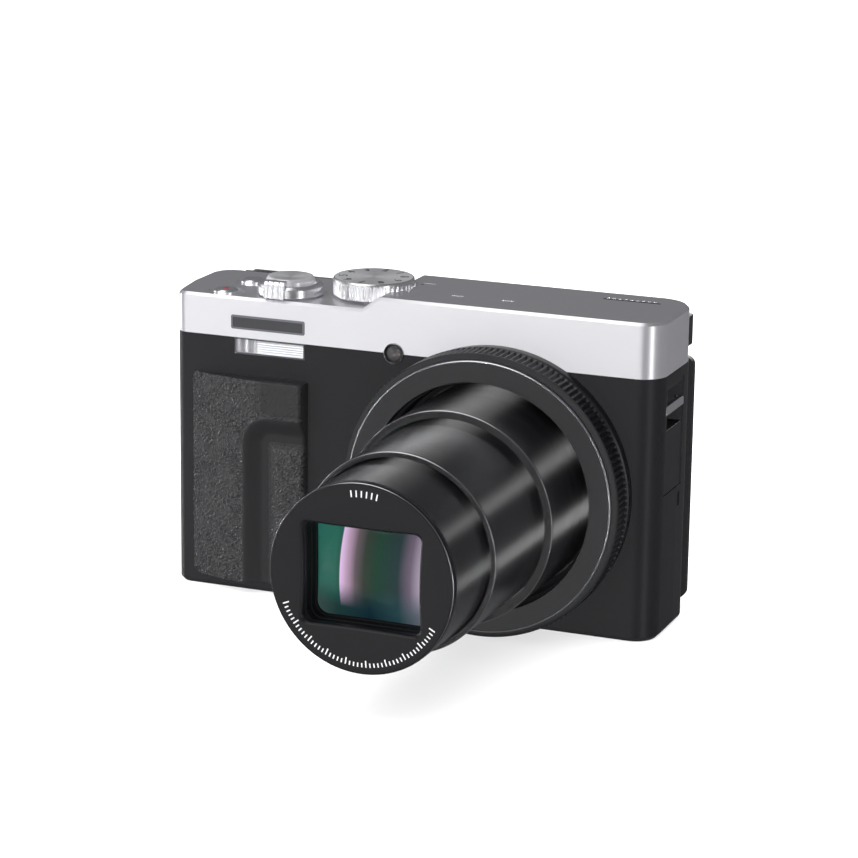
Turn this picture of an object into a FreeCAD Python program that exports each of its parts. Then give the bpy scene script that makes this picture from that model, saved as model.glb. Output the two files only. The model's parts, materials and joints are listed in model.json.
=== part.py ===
import FreeCAD, Part
import os
import re
import Sketcher
from FreeCAD import Placement, Rotation, Vector

# A compact travel-zoom camera, lens run out, in millimetres.
# X runs along the body (the grip is at -X), -Y is the way the lens looks, +Z is up.
# The origin is the mouth of the tripod socket, in the middle of the base.

os.makedirs("parts", exist_ok=True)
doc = FreeCAD.newDocument("compact_camera")

# ---------------------------------------------------------------- driving dimensions
DIMENSIONS = [
    ("half_wide", 56.0, "half the body's width"),
    ("grip_corner_x", 54.4, "grip side of the front face, before its corner is rounded"),
    ("face", -13.0, "y of the front face, so the socket is 13 behind it"),
    ("part_line", 14.3, "front face to the joint between the front and rear covers"),
    ("cover_deep", 26.3, "front face to the back of the top cover"),
    ("back", 27.0, "front face to the back wall of the rear cover"),
    ("monitor_back", 30.4, "front face to the monitor's screen"),
    ("wall", 1.3, "thickness of the covers"),
    ("silver_low", 57.0, "lower edge of the top cover"),
    ("deck_low", 65.9, "top deck on the grip side"),
    ("deck_high", 68.8, "top deck on the lens side"),
    ("step_low_x", -10.65, "foot of the step between the decks"),
    ("step_high_x", -6.6, "head of the step between the decks"),
    ("corner_fl", 3.3, "front corner radius at the grip"),
    ("corner_fr", 5.5, "front corner radius at the strap side"),
    ("corner_rl", 5.0, "rear corner radius at the grip"),
    ("corner_rr", 8.0, "rear corner radius at the strap side"),
    ("lens_x", 20.6, "lens axis from the socket"),
    ("lens_z", 30.9, "lens axis above the base"),
    ("base_ring", 30.7, "radius of the fixed ring behind the control ring"),
    ("knurl", 30.6, "radius of the control ring's knurl"),
    ("ring_lip", 29.3, "radius of the control ring's front lip"),
    ("ring_bore", 25.7, "bore of the control ring"),
    ("ring_front", 11.2, "front face to the front of the control ring"),
    ("sleeve", 25.3, "outer radius of the lens housing"),
    ("big_rad", 22.65, "radius of the large barrel"),
    ("mid_rad", 20.6, "radius of the middle barrel"),
    ("small_rad", 19.1, "radius of the small barrel"),
    ("big_front", 27.9, "front face to the rim of the large barrel"),
    ("mid_front", 54.4, "front face to the rim of the middle barrel"),
    ("small_front", 72.9, "front face to the front of the bezel"),
    ("window_x", 12.1, "half width of the bezel's window"),
    ("window_z", 10.05, "half height of the bezel's window"),
    ("dial_x", -12.9, "mode dial axis"),
    ("dial_y", 12.3, "front face to the mode dial axis"),
    ("dial_rad", 8.8, "radius of the mode dial"),
    ("dial_top", 70.6, "top of the mode dial"),
    ("lever_x", -30.5, "zoom lever and shutter button axis"),
    ("lever_y", 7.7, "front face to that axis"),
    ("lever_rad", 7.25, "radius of the zoom lever's ring"),
    ("shutter_rad", 5.3, "radius of the shutter button"),
    ("shutter_top", 70.1, "top of the shutter button"),
    ("movie_x", -44.4, "movie button axis"),
    ("movie_y", 4.4, "front face to the movie button axis"),
    ("power_x", -43.0, "power button axis"),
    ("power_y", 15.3, "front face to the power button axis"),
    ("lamp_x", -3.0, "focus lamp axis"),
    ("lamp_rad", 2.3, "radius of the focus lamp"),
    ("flash_left", -40.3, "grip side of the flash window"),
    ("flash_right", -23.7, "lens side of the flash window"),
    ("flash_low", 53.4, "lower edge of the flash window"),
    ("grip_left", -50.2, "outer edge of the grip pad"),
    ("grip_right", -22.9, "inner edge of the grip pad"),
    ("grip_low", 2.6, "lower end of the grip pad"),
    ("grip_top", 48.6, "upper end of the grip pad"),
    ("grip_proud", 4.0, "how far the grip pad stands out"),
    ("pad_x", -37.0, "rear dial axis"),
    ("pad_z", 24.0, "rear dial axis above the base"),
    ("pad_rad", 9.2, "radius of the rear dial"),
    ("key_rad", 2.3, "radius of a rear button"),
    ("tilt_y", 29.0, "front face to the monitor's hinge axis"),
    ("tilt_z", 57.3, "monitor's hinge axis above the base"),
    ("tilt_pin", 0.6, "radius of the monitor's hinge pin"),
    ("monitor_left", -19.0, "grip side of the monitor"),
    ("monitor_right", 54.6, "strap side of the monitor"),
    ("monitor_low", 1.8, "lower edge of the monitor"),
    ("monitor_high", 56.0, "upper edge of the monitor"),
    ("door_left", -51.4, "grip side of the battery door's opening"),
    ("door_right", -13.1, "lens side of the battery door's opening"),
    ("door_front", 5.0, "front face to the battery door's opening"),
    ("door_back", 23.0, "front face to the back of that opening"),
    ("door_pin", 0.35, "radius of the battery door's pin"),
    ("door_axis", 0.95, "battery door's pin above the base and inside the opening's edge"),
    ("flap_low", 17.0, "lower end of the terminal door's opening"),
    ("flap_high", 42.0, "upper end of the terminal door's opening"),
    ("flap_front", 15.0, "front face to the terminal door's opening"),
    ("flap_back", 21.2, "front face to the back of that opening"),
    ("flap_thick", 1.0, "thickness of the terminal door"),
    ("socket_rad", 4.6, "outer radius of the tripod socket"),
    ("thread_rad", 2.6, "wall radius of the tripod socket's thread"),
    ("thread_deep", 5.6, "depth of the tripod socket's thread"),
    ("fit", 0.05, "running clearance on the radius"),
    ("gap", 0.15, "gap round a door or an inset panel"),
    ("key_gap", 0.2, "gap round a button"),
    ("base_edge", 0.9, "chamfer round the base"),
    ("deck_edge", 0.6, "chamfer round the top decks"),
    ("panel_front", 5.4, "front face to the inset side panel"),
    ("panel_back", 17.4, "front face to the back of that panel"),
    ("panel_low", 31.0, "lower end of the side panel"),
    ("panel_high", 54.7, "upper end of the side panel"),
    ("bar_z", 49.25, "strap bar above the base"),
    ("bar_wide", 2.0, "height of the strap bar"),
    ("bar_thick", 1.5, "thickness of the strap bar"),
    ("head_rad", 1.5, "radius of a base screw's head"),
    ("shank_rad", 0.75, "radius of a base screw's shank"),
]
ALIASES = {row[0] for row in DIMENSIONS}
sheet = doc.addObject("Spreadsheet::Sheet", "Sizes")
for row, (alias, value, meaning) in enumerate(DIMENSIONS, start=1):
    sheet.set("A%d" % row, meaning)
    sheet.set("B%d" % row, str(value))
    sheet.setAlias("B%d" % row, alias)
doc.recompute()

FORWARD = Rotation(Vector(1, 0, 0), 90)
BACKWARD = Rotation(Vector(1, 0, 0), -90)
SIDEWAYS = Rotation(Vector(0, 1, 0), 90)
UPRIGHT = Rotation()
NODES = {}
LENS_AT = ("lens_x", "face", "lens_z")
# Each base screw's x and its distance behind the front face: two per cover.
SCREWS = (("48", "7"), ("4", "4.4"), ("48", "19"), ("-6", "21"))
# Each rear button's x and z.
KEYS = {
    "exposure_lock_button": ("-26.5", "61.2"),
    "viewfinder_button": ("24.8", "61.2"),
    "quick_menu_button": ("-27", "45"),
    "playback_button": ("-48.3", "38.6"),
    "display_button": ("-48.3", "9.6"),
    "delete_button": ("-25.7", "9.6"),
}


# ---------------------------------------------------------------- small helpers
def bound(text):
    """An expression in which each driving dimension's name points at its cell."""
    return re.sub(r"[a-z_]+", lambda word: "Sizes." + word.group()
                  if word.group() in ALIASES else word.group(), str(text))


def number(text):
    return float(sheet.evalExpression(bound(text)))


def tie(thing, prop, text):
    thing.setExpression(prop, bound(text))


def place(thing, at=("0", "0", "0"), turn=UPRIGHT):
    """Turn an object, and bind its position to the sheet."""
    thing.Placement = Placement(Vector(*[number(value) for value in at]), turn)
    for axis, value in zip("xyz", at):
        tie(thing, "Placement.Base." + axis, value)


def keep(label, thing):
    """Enter a finished sub-part under its node's name."""
    thing.Label = label
    NODES[label] = thing
    return thing


def new_body(label, at=("0", "0", "0"), turn=UPRIGHT):
    body = doc.addObject("PartDesign::Body", label)
    place(body, at, turn)
    return keep(label, body)


def new_sketch(body, plane, lift="0"):
    sketch = body.newObject("Sketcher::SketchObject", body.Name + "_sketch")
    origin_plane = [item for item in body.Origin.OriginFeatures if item.Role == plane][0]
    sketch.AttachmentSupport = [(origin_plane, "")]
    sketch.MapMode = "FlatFace"
    tie(sketch, "AttachmentOffset.Base.z", lift)
    return sketch


def hold_point(sketch, geometry, corner, at):
    """Pin one end of an edge, or a centre, to a place given by two expressions."""
    for kind, text in zip(("DistanceX", "DistanceY"), at):
        index = sketch.addConstraint(
            Sketcher.Constraint(kind, -1, 1, geometry, corner, number(text)))
        name = "%s_%d" % (kind, index)
        sketch.renameConstraint(index, name)
        tie(sketch, "Constraints." + name, text)


def draw_polygon(sketch, points):
    spots = [Vector(number(x), number(y), 0) for x, y in points]
    count = len(spots)
    edges = [sketch.addGeometry(Part.LineSegment(spots[i], spots[(i + 1) % count]), False)
             for i in range(count)]
    for i in range(count):
        sketch.addConstraint(
            Sketcher.Constraint("Coincident", edges[i], 2, edges[(i + 1) % count], 1))
        hold_point(sketch, edges[i], 1, points[i])


def draw_circle(sketch, centre, radius):
    spot = Vector(number(centre[0]), number(centre[1]), 0)
    ring = sketch.addGeometry(Part.Circle(spot, Vector(0, 0, 1), number(radius)), False)
    hold_point(sketch, ring, 3, centre)
    index = sketch.addConstraint(Sketcher.Constraint("Radius", ring, number(radius)))
    name = "Radius_%d" % index
    sketch.renameConstraint(index, name)
    tie(sketch, "Constraints." + name, radius)


def rectangle(left, right, low, high):
    return [(left, low), (right, low), (right, high), (left, high)]


def eased_rectangle(left, right, low, high, eases):
    """A rectangle with each corner cut off square, or left as it is where its ease is None."""
    signs = ((1, 1), (-1, 1), (-1, -1), (1, -1))
    points = []
    for i, (corner, ease) in enumerate(zip(rectangle(left, right, low, high), eases)):
        if ease is None:
            points.append(corner)
            continue
        across = ("%s + %d * (%s)" % (corner[0], signs[i][0], ease), corner[1])
        along = (corner[0], "%s + %d * (%s)" % (corner[1], signs[i][1], ease))
        points += [along, across] if i % 2 == 0 else [across, along]
    return points


def pad(body, plane, lift, length, points=None, circles=()):
    sketch = new_sketch(body, plane, lift)
    if points:
        draw_polygon(sketch, points)
    for centre, radius in circles:
        draw_circle(sketch, centre, radius)
    feature = body.newObject("PartDesign::Pad", body.Name + "_pad")
    feature.Profile = sketch
    tie(feature, "Length", length)
    doc.recompute()
    return feature


def pocket(body, plane, lift, length, points=None, circles=(), both_ways=False):
    """Cut into a body, and turn the cut round if it points away from the solid."""
    before = body.Shape.Volume
    sketch = new_sketch(body, plane, lift)
    if points:
        draw_polygon(sketch, points)
    for centre, radius in circles:
        draw_circle(sketch, centre, radius)
    feature = body.newObject("PartDesign::Pocket", body.Name + "_pocket")
    feature.Profile = sketch
    tie(feature, "Length", length)
    feature.Midplane = both_ways
    doc.recompute()
    if body.Shape.Volume > before - 1e-6:
        feature.Reversed = True
        doc.recompute()
    if body.Shape.Volume > before - 1e-6:
        raise RuntimeError("a pocket in %s cuts nothing" % body.Label)
    return feature


def edges_where(body, test):
    shape = body.Tip.Shape
    return ["Edge%d" % (i + 1) for i, edge in enumerate(shape.Edges) if test(edge)]


def soften(body, kind, size, test):
    """Fillet or chamfer the edges of the body's last feature that pass a test."""
    names = edges_where(body, test)
    if not names:
        raise RuntimeError("no edge to soften in %s" % body.Label)
    base = body.Tip
    feature = body.newObject("PartDesign::" + kind, body.Name + "_" + kind.lower())
    feature.Base = (base, names)
    tie(feature, "Radius" if kind == "Fillet" else "Size", size)
    doc.recompute()
    if "Invalid" in feature.State or not body.Shape.isValid():
        raise RuntimeError("%s of %s failed" % (kind, body.Label))
    return feature


def upright_at(x, y, z=None):
    """A test for vertical edges at a place in plan."""
    spot_x = number(x)
    spot_y = number(y)

    def test(edge):
        box = edge.BoundBox
        near = abs(box.Center.x - spot_x) < 0.05 and abs(box.Center.y - spot_y) < 0.05
        return near and box.ZLength > 1.0 and box.XLength + box.YLength < 0.1
    return test


def flat_at(level):
    """A test for the edges that lie at one height of the body."""
    height = number(level)
    return lambda edge: edge.BoundBox.ZLength < 0.01 and abs(edge.BoundBox.ZMin - height) < 0.01


def turned(label, profile, at, turn=UPRIGHT):
    """A body of revolution: its profile is a list of (radius, height) expressions."""
    body = new_body(label, at, turn)
    sketch = new_sketch(body, "XZ_Plane")
    draw_polygon(sketch, profile)
    feature = body.newObject("PartDesign::Revolution", label + "_turned")
    feature.Profile = sketch
    feature.ReferenceAxis = (sketch, ["V_Axis"])
    feature.Angle = 360.0
    doc.recompute()
    return body


def tile(label, wide, high, thick, radius, at, turn=UPRIGHT, edge=None):
    """A plate with rounded corners, centred on its place, standing on its own XY plane."""
    body = new_body(label, at, turn)
    half_x = "(%s) / 2" % wide
    half_y = "(%s) / 2" % high
    pad(body, "XY_Plane", "0", thick,
        rectangle("-" + half_x, half_x, "-" + half_y, half_y))
    soften(body, "Fillet", radius, lambda item: item.BoundBox.ZLength > number(thick) - 0.01)
    if edge:
        soften(body, "Fillet", edge, flat_at(thick))
    return body


def block(name, low, high):
    """A plain box between two corners."""
    item = doc.addObject("Part::Box", name)
    for prop, first, last in zip(("Length", "Width", "Height"), low, high):
        tie(item, prop, "(%s) - (%s)" % (last, first))
    place(item, low)
    doc.recompute()
    return item


def rod(name, radius, length, at, turn=UPRIGHT):
    item = doc.addObject("Part::Cylinder", name)
    tie(item, "Radius", radius)
    tie(item, "Height", length)
    place(item, at, turn)
    doc.recompute()
    return item


def cut(name, base, tool):
    item = doc.addObject("Part::Cut", name)
    item.Base = base
    item.Tool = tool
    doc.recompute()
    return item


def join(name, pieces):
    item = doc.addObject("Part::MultiFuse", name)
    item.Shapes = pieces
    doc.recompute()
    return item


def group(name, pieces):
    """Separate solids kept as one node."""
    item = doc.addObject("Part::Compound", name)
    item.Links = pieces
    doc.recompute()
    return item


def deep(distance):
    """The y of a plane a given distance behind the front face."""
    return "face + (%s)" % distance


# ---------------------------------------------------------------- the three covers
def screw_holes(body, spots):
    """Countersink and pierce a cover's base for its screws."""
    pocket(body, "XY_Plane", "0", "0.8",
           circles=[((x, deep(y)), "head_rad + 0.1") for x, y in spots])
    pocket(body, "XY_Plane", "0", "2 * wall + 0.2", both_ways=True,
           circles=[((x, deep(y)), "shank_rad + fit") for x, y in spots])


def make_front_cover():
    body = new_body("front_cover")
    pad(body, "XY_Plane", "0", "silver_low", [
        ("-grip_corner_x", "face"), ("half_wide", "face"),
        ("half_wide", deep("part_line")), ("-half_wide", deep("part_line")),
        ("-half_wide", deep("12"))])
    soften(body, "Fillet", "corner_fl", upright_at("-grip_corner_x", "face"))
    soften(body, "Fillet", "corner_fr", upright_at("half_wide", "face"))
    seam = number(deep("part_line"))
    soften(body, "Chamfer", "base_edge", lambda edge: flat_at("0")(edge)
           and not (edge.BoundBox.YMin > seam - 0.01))
    pocket(body, "XY_Plane", "silver_low", "silver_low - wall", eased_rectangle(
        "-grip_corner_x + wall", "half_wide - wall", deep("wall"), deep("part_line + 1"),
        ("corner_fl - wall", "corner_fr - wall", None, None)))
    pocket(body, "XZ_Plane", "-(face)", "2 * wall + 0.2",
           circles=[(("lens_x", "lens_z"), "sleeve + 0.3")], both_ways=True)
    pocket(body, "XZ_Plane", "-(face)", "2 * wall + 0.2",
           rectangle("flash_left", "flash_right", "flash_low", "silver_low + 1"), both_ways=True)
    pocket(body, "XZ_Plane", "-(face)", "2 * wall + 0.2",
           circles=[(("lamp_x", "silver_low"), "lamp_rad")], both_ways=True)
    pocket(body, "YZ_Plane", "half_wide", "2 * wall + 0.2",
           rectangle(deep("panel_front"), deep("part_line + 1"), "panel_low", "panel_high"),
           both_ways=True)
    pocket(body, "XY_Plane", "0", "2 * wall + 0.2",
           rectangle("door_left", "door_right", deep("door_front"), deep("part_line + 1")),
           both_ways=True)
    pocket(body, "XY_Plane", "0", "2 * wall + 0.2", both_ways=True,
           circles=[(("0", "0"), "socket_rad + fit")])
    screw_holes(body, SCREWS[:2])


def make_top_cover():
    body = new_body("top_cover")
    pad(body, "XY_Plane", "silver_low", "deck_high - silver_low", [
        ("-grip_corner_x", "face"), ("half_wide", "face"),
        ("half_wide", deep("cover_deep")), ("-half_wide", deep("cover_deep")),
        ("-half_wide", deep("12"))])
    soften(body, "Fillet", "corner_fl", upright_at("-grip_corner_x", "face"))
    soften(body, "Fillet", "corner_fr", upright_at("half_wide", "face"))
    soften(body, "Fillet", "corner_rr", upright_at("half_wide", deep("cover_deep")))
    soften(body, "Fillet", "corner_rl", upright_at("-half_wide", deep("cover_deep")))
    pocket(body, "XZ_Plane", "0", "80", [
        ("-half_wide - 5", "deck_low"), ("step_low_x", "deck_low"),
        ("step_high_x", "deck_high"), ("step_high_x", "deck_high + 3"),
        ("-half_wide - 5", "deck_high + 3")], both_ways=True)
    low = number("deck_low")
    rear = number(deep("cover_deep"))

    def outer_top(edge):
        box = edge.BoundBox
        crosses = box.YLength > 20 and abs(box.XLength) < 0.01 and abs(box.Center.x) < 20
        rises = box.YLength < 0.01 and box.ZLength > 1 and box.XLength > 1
        return (box.ZMin > low - 0.01 and not crosses) or rises

    soften(body, "Chamfer", "deck_edge", outer_top)
    pocket(body, "XY_Plane", "deck_high + 1", "deck_high + 1 - deck_low",
           circles=[(("dial_x", deep("dial_y")), "dial_rad + 0.25")])
    pocket(body, "XY_Plane", "silver_low", "deck_low - silver_low - wall", eased_rectangle(
        "-grip_corner_x + wall", "half_wide - wall", deep("wall"), deep("cover_deep - wall"),
        ("corner_fl - wall", "corner_fr - wall", "corner_rr - wall", "corner_rl - wall")))
    pocket(body, "XY_Plane", "silver_low", "deck_high - silver_low - wall",
           rectangle("0", "half_wide - 8", deep("8"), deep("cover_deep - 3")))
    pocket(body, "XZ_Plane", "-(face)", "2 * wall + 0.2",
           circles=[(("lamp_x", "silver_low"), "lamp_rad")], both_ways=True)
    pocket(body, "XY_Plane", "deck_low", "2 * wall + 1", both_ways=True, circles=[
        (("dial_x", deep("dial_y")), "2.3"), (("lever_x", deep("lever_y")), "2.4"),
        (("movie_x", deep("movie_y")), "3.0"), (("power_x", deep("power_y")), "2.9")])
    pocket(body, "XY_Plane", "deck_high", "2 * wall + 1", both_ways=True,
           points=rectangle("6.6", "9.2", deep("8.2"), deep("9.0")))
    pocket(body, "XY_Plane", "deck_high", "2 * wall + 1", both_ways=True,
           points=rectangle("18.0", "20.6", deep("8.2"), deep("9.0")))
    holes = [(("37.6 + 1.3 * %d" % i, deep("20.6")), "0.4") for i in range(9)]
    pocket(body, "XY_Plane", "deck_high", "2 * wall + 1", circles=holes, both_ways=True)
    upper_keys = [KEYS["exposure_lock_button"], KEYS["viewfinder_button"]]
    pocket(body, "XZ_Plane", "-(face + cover_deep)", "2 * wall + 0.2", both_ways=True,
           circles=[(spot, "key_rad + key_gap") for spot in upper_keys])


def make_rear_cover():
    body = new_body("rear_cover")
    outline = rectangle("-half_wide", "half_wide", deep("part_line"), deep("back"))
    pad(body, "XY_Plane", "0", "silver_low", outline)
    soften(body, "Fillet", "corner_rr", upright_at("half_wide", deep("back")))
    soften(body, "Fillet", "corner_rl", upright_at("-half_wide", deep("back")))
    seam = number(deep("part_line"))
    soften(body, "Chamfer", "base_edge", lambda edge: flat_at("0")(edge)
           and not (edge.BoundBox.YMax < seam + 0.01))
    pocket(body, "XY_Plane", "silver_low", "silver_low - wall", eased_rectangle(
        "-half_wide + wall", "half_wide - wall", deep("part_line - 1"), deep("back - wall"),
        (None, None, "corner_rr - wall", "corner_rl - wall")))
    pad(body, "XZ_Plane", "-(face + back)", "back - cover_deep - 0.05",
        rectangle("-50", "29.8", "silver_low - 2", "deck_low"))
    for ear in ("-12", "19.1"):
        pad(body, "YZ_Plane", ear, "2.9",
            rectangle(deep("back - 0.5"), deep("tilt_y + 1.2"), "tilt_z - 1.2", "tilt_z + 1.2"))
    pocket(body, "YZ_Plane", "5", "34.3", circles=[((deep("tilt_y"), "tilt_z"), "tilt_pin")],
           both_ways=True)
    pocket(body, "YZ_Plane", "half_wide", "2 * wall + 0.2",
           rectangle(deep("part_line - 1"), deep("panel_back"), "panel_low", "panel_high"),
           both_ways=True)
    pocket(body, "YZ_Plane", "-half_wide", "2 * wall + 0.2",
           rectangle(deep("flap_front"), deep("flap_back"), "flap_low", "flap_high"),
           both_ways=True)
    pocket(body, "XY_Plane", "flap_high + 0.6", "flap_high - flap_low + 1.2",
           circles=[(("-half_wide + gap + flap_thick / 2",
                      deep("flap_front + gap + flap_thick / 2")), "0.3 + fit")])
    pocket(body, "XY_Plane", "0", "2 * wall + 0.2",
           rectangle("door_left", "door_right", deep("part_line - 1"), deep("door_back")),
           both_ways=True)
    pocket(body, "XY_Plane", "0", "2 * wall + 0.2", both_ways=True,
           circles=[(("0", "0"), "socket_rad + fit")])
    screw_holes(body, SCREWS[2:])
    keys = [(spot, "key_rad + key_gap") for spot in KEYS.values()]
    pocket(body, "XZ_Plane", "-(face + back)", "2 * wall + 0.2", circles=keys, both_ways=True)
    pocket(body, "XZ_Plane", "-(face + back)", "1.8", both_ways=True,
           circles=[(("pad_x", "pad_z"), "pad_rad + 0.3")])
    pocket(body, "XZ_Plane", "-(face + back)", "2 * wall + 0.2",
           circles=[(("pad_x", "pad_z"), "2.3")], both_ways=True)


# ---------------------------------------------------------------- the grip and front trim
def make_grip_panel():
    """A pad that swells from its outer edge to a thick inner edge, with a finger channel."""
    body = new_body("grip_panel")
    sketch = new_sketch(body, "XY_Plane", "grip_low")
    corners = [("grip_left", "face - 0.02"), ("grip_left", "face - 0.5"),
               ("-31", "face - grip_proud"), ("grip_right - 1.2", "face - grip_proud + 0.1"),
               ("grip_right", "face - grip_proud + 1.2"), ("grip_right", "face - 0.02")]
    spots = [Vector(number(x), number(y), 0) for x, y in corners]
    swell = Vector(number("grip_left + 8"), number("face - grip_proud + 1.15"), 0)
    edges = []
    for i, spot in enumerate(spots):
        following = spots[(i + 1) % len(spots)]
        shape = Part.LineSegment(spot, following)
        if i == 1:
            shape = Part.Arc(spot, swell, following)
        edges.append(sketch.addGeometry(shape, False))
    arc_start = 1
    if (sketch.Geometry[edges[1]].StartPoint - spots[1]).Length > 0.01:
        arc_start = 2
    arc_end = 3 - arc_start
    for i in range(len(edges)):
        first_end = arc_end if i == 1 else 2
        after = (i + 1) % len(edges)
        next_start = arc_start if after == 1 else 1
        sketch.addConstraint(
            Sketcher.Constraint("Coincident", edges[i], first_end, edges[after], next_start))
        hold_point(sketch, edges[i], arc_start if i == 1 else 1, corners[i])
    bend = sketch.Geometry[edges[1]].Radius
    sketch.addConstraint(Sketcher.Constraint("Radius", edges[1], bend))
    feature = body.newObject("PartDesign::Pad", "grip_swell")
    feature.Profile = sketch
    tie(feature, "Length", "grip_top - grip_low")
    doc.recompute()
    pocket(body, "XZ_Plane", "-(face - grip_proud - 1)", "2.8", [
        ("-39.2", "grip_low - 1"), ("-25.2", "grip_low - 1"), ("-25.2", "41.3"),
        ("-33.5", "41.3"), ("-39.2", "36.2")])


def make_front_trim():
    turned("lens_trim_ring", [
        ("ring_bore + 0.5", "0.02"), ("base_ring", "0.02"), ("base_ring", "3.0"),
        ("base_ring - 0.8", "3.8"), ("ring_bore + 0.5", "3.8")], LENS_AT, FORWARD)
    tile("flash_window", "flash_right - flash_left", "silver_low - flash_low", "1.6", "0.35",
         ("(flash_left + flash_right) / 2", deep("1.4"), "(silver_low + flash_low) / 2"), FORWARD)
    turned("af_lamp_window", [
        ("0", "-2.4"), ("lamp_rad - 0.02", "-2.4"), ("lamp_rad - 0.02", "0.35"),
        ("lamp_rad - 0.35", "0.5"), ("lamp_rad - 0.75", "0.25"), ("0", "0.45")],
        ("lamp_x", "face", "silver_low"), FORWARD)


def make_side_fittings():
    """The inset panel on the strap side, with the recess that the strap bar bridges."""
    body = new_body("side_panel")
    middle = deep("(panel_front + panel_back) / 2")
    pad(body, "XY_Plane", "panel_low", "panel_high - panel_low",
        rectangle("half_wide - 5", "half_wide - gap", deep("panel_front"), deep("panel_back")))
    pocket(body, "YZ_Plane", "half_wide", "7.4", both_ways=True, points=rectangle(
        deep("panel_front + 1.2"), deep("panel_back - 1.2"), "bar_z - 4.25", "bar_z + 4.35"))
    pocket(body, "YZ_Plane", "half_wide", "3.2", both_ways=True, points=rectangle(
        deep("panel_front"), deep("panel_back"), "bar_z - bar_wide / 2", "bar_z + bar_wide / 2"))
    tile("strap_bar", "bar_wide", "panel_back - panel_front", "bar_thick", "0.35",
         ("half_wide + gap - bar_thick", middle, "bar_z"), SIDEWAYS, "0.3")


# ---------------------------------------------------------------- the lens
def make_lens():
    turned("lens_housing", [
        ("big_rad + 1.5", "-21.5"), ("sleeve", "-21.5"), ("sleeve", "-2.6"), ("28", "-2.6"),
        ("28", "-wall - 0.02"), ("sleeve", "-wall - 0.02"), ("sleeve", "6"),
        ("big_rad + 1.5", "6")], LENS_AT, FORWARD)
    turned("control_ring", [
        ("ring_bore", "4.0"), ("knurl - 0.4", "4.0"), ("knurl", "4.4"), ("knurl", "9.6"),
        ("knurl - 0.4", "10.0"), ("ring_lip - 0.3", "10.0"), ("ring_lip", "10.3"),
        ("ring_lip", "ring_front - 0.3"), ("ring_lip - 0.3", "ring_front"),
        ("ring_bore + 0.3", "ring_front"), ("ring_bore", "ring_front - 0.3")],
        LENS_AT, FORWARD)
    turned("cam_ring", [
        ("big_rad + 0.4", "-20.5"), ("big_rad + 1.2", "-20.5"), ("big_rad + 1.2", "2"),
        ("big_rad + 0.4", "2")], LENS_AT, FORWARD)
    turned("barrel_large", [
        ("mid_rad + 1.15", "big_front - 31.4"), ("big_rad", "big_front - 31.4"),
        ("big_rad", "big_front - 0.25"), ("big_rad - 0.25", "big_front"),
        ("mid_rad + 0.3", "big_front"), ("mid_rad + 0.3", "big_front - 1"),
        ("mid_rad + 1.15", "big_front - 1")], LENS_AT, FORWARD)
    turned("barrel_middle", [
        ("8.5", "mid_front - 31"), ("mid_rad", "mid_front - 31"),
        ("mid_rad", "mid_front - 0.25"), ("mid_rad - 0.25", "mid_front"),
        ("small_rad + 0.3", "mid_front"), ("small_rad + 0.3", "mid_front - 1"),
        ("small_rad + 0.6", "mid_front - 1"), ("small_rad + 0.6", "mid_front - 30.3"),
        ("8.5", "mid_front - 30.3")], LENS_AT, FORWARD)
    turned("zoom_lens_group", [
        ("0", "mid_front - 30.2"), ("8", "mid_front - 30.2"), ("12", "mid_front - 30.2"),
        ("12", "mid_front - 24.6"), ("7.5", "mid_front - 24.6"), ("5", "mid_front - 25.4"),
        ("0", "mid_front - 25.8")], LENS_AT, FORWARD)
    turned("shutter_unit", [
        ("4.5", "mid_front - 24.5"), ("13.5", "mid_front - 24.5"),
        ("13.5", "mid_front - 21"), ("4.5", "mid_front - 21")], LENS_AT, FORWARD)
    turned("barrel_small", [
        ("small_rad - 0.8", "small_front - 30.5"), ("small_rad", "small_front - 30.5"),
        ("small_rad", "small_front - 1.5"), ("small_rad - 0.8", "small_front - 1.5"),
        ("small_rad - 0.8", "small_front - 6.7"), ("16.55", "small_front - 6.7"),
        ("16.55", "small_front - 10.4"), ("small_rad - 0.8", "small_front - 10.4")],
        LENS_AT, FORWARD)
    bezel = turned("front_bezel", [
        ("0", "small_front - 1.48"), ("small_rad", "small_front - 1.48"),
        ("small_rad", "small_front - 0.3"), ("small_rad - 0.3", "small_front"),
        ("0", "small_front")], LENS_AT, FORWARD)
    pocket(bezel, "XY_Plane", "small_front", "4",
           rectangle("-window_x", "window_x", "-window_z", "window_z"), both_ways=True)
    half_x = number("window_x")
    half_y = number("window_z")
    soften(bezel, "Fillet", "1.6", lambda edge: edge.BoundBox.ZLength > 1.0
           and abs(abs(edge.BoundBox.Center.x) - half_x) < 0.05
           and abs(abs(edge.BoundBox.Center.y) - half_y) < 0.05)
    ball = doc.addObject("Part::Sphere", "lens_ball")
    ball.Radius = 40.0
    place(ball, ("lens_x", deep("-(small_front - 3.4) + 40"), "lens_z"))
    core = rod("lens_core", "16.5", "7", ("lens_x", deep("-(small_front - 10)"), "lens_z"), FORWARD)
    lens = doc.addObject("Part::Common", "front_lens")
    lens.Base = ball
    lens.Tool = core
    doc.recompute()
    keep("front_lens", lens)


def make_barrier():
    """Two leaves above the lens window and two below, each a segment of a disc."""
    leaves = [("barrier_inner_upper", 1, "2.0"), ("barrier_outer_upper", 1, "2.4"),
              ("barrier_inner_lower", -1, "2.0"), ("barrier_outer_lower", -1, "2.4")]
    for label, side, depth in leaves:
        disc = rod(label + "_disc", "small_rad - 1.0", "0.34",
                   ("lens_x", deep("-(small_front - %s)" % depth), "lens_z"), FORWARD)
        low = "lens_z + window_z + 0.1" if side > 0 else "lens_z - 30"
        high = "lens_z + 30" if side > 0 else "lens_z - window_z - 0.1"
        zone = block(label + "_zone", ("lens_x - 30", deep("-small_front"), low),
                     ("lens_x + 30", deep("-small_front + 6"), high))
        leaf = doc.addObject("Part::Common", label)
        leaf.Base = disc
        leaf.Tool = zone
        doc.recompute()
        keep(label, leaf)


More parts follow.
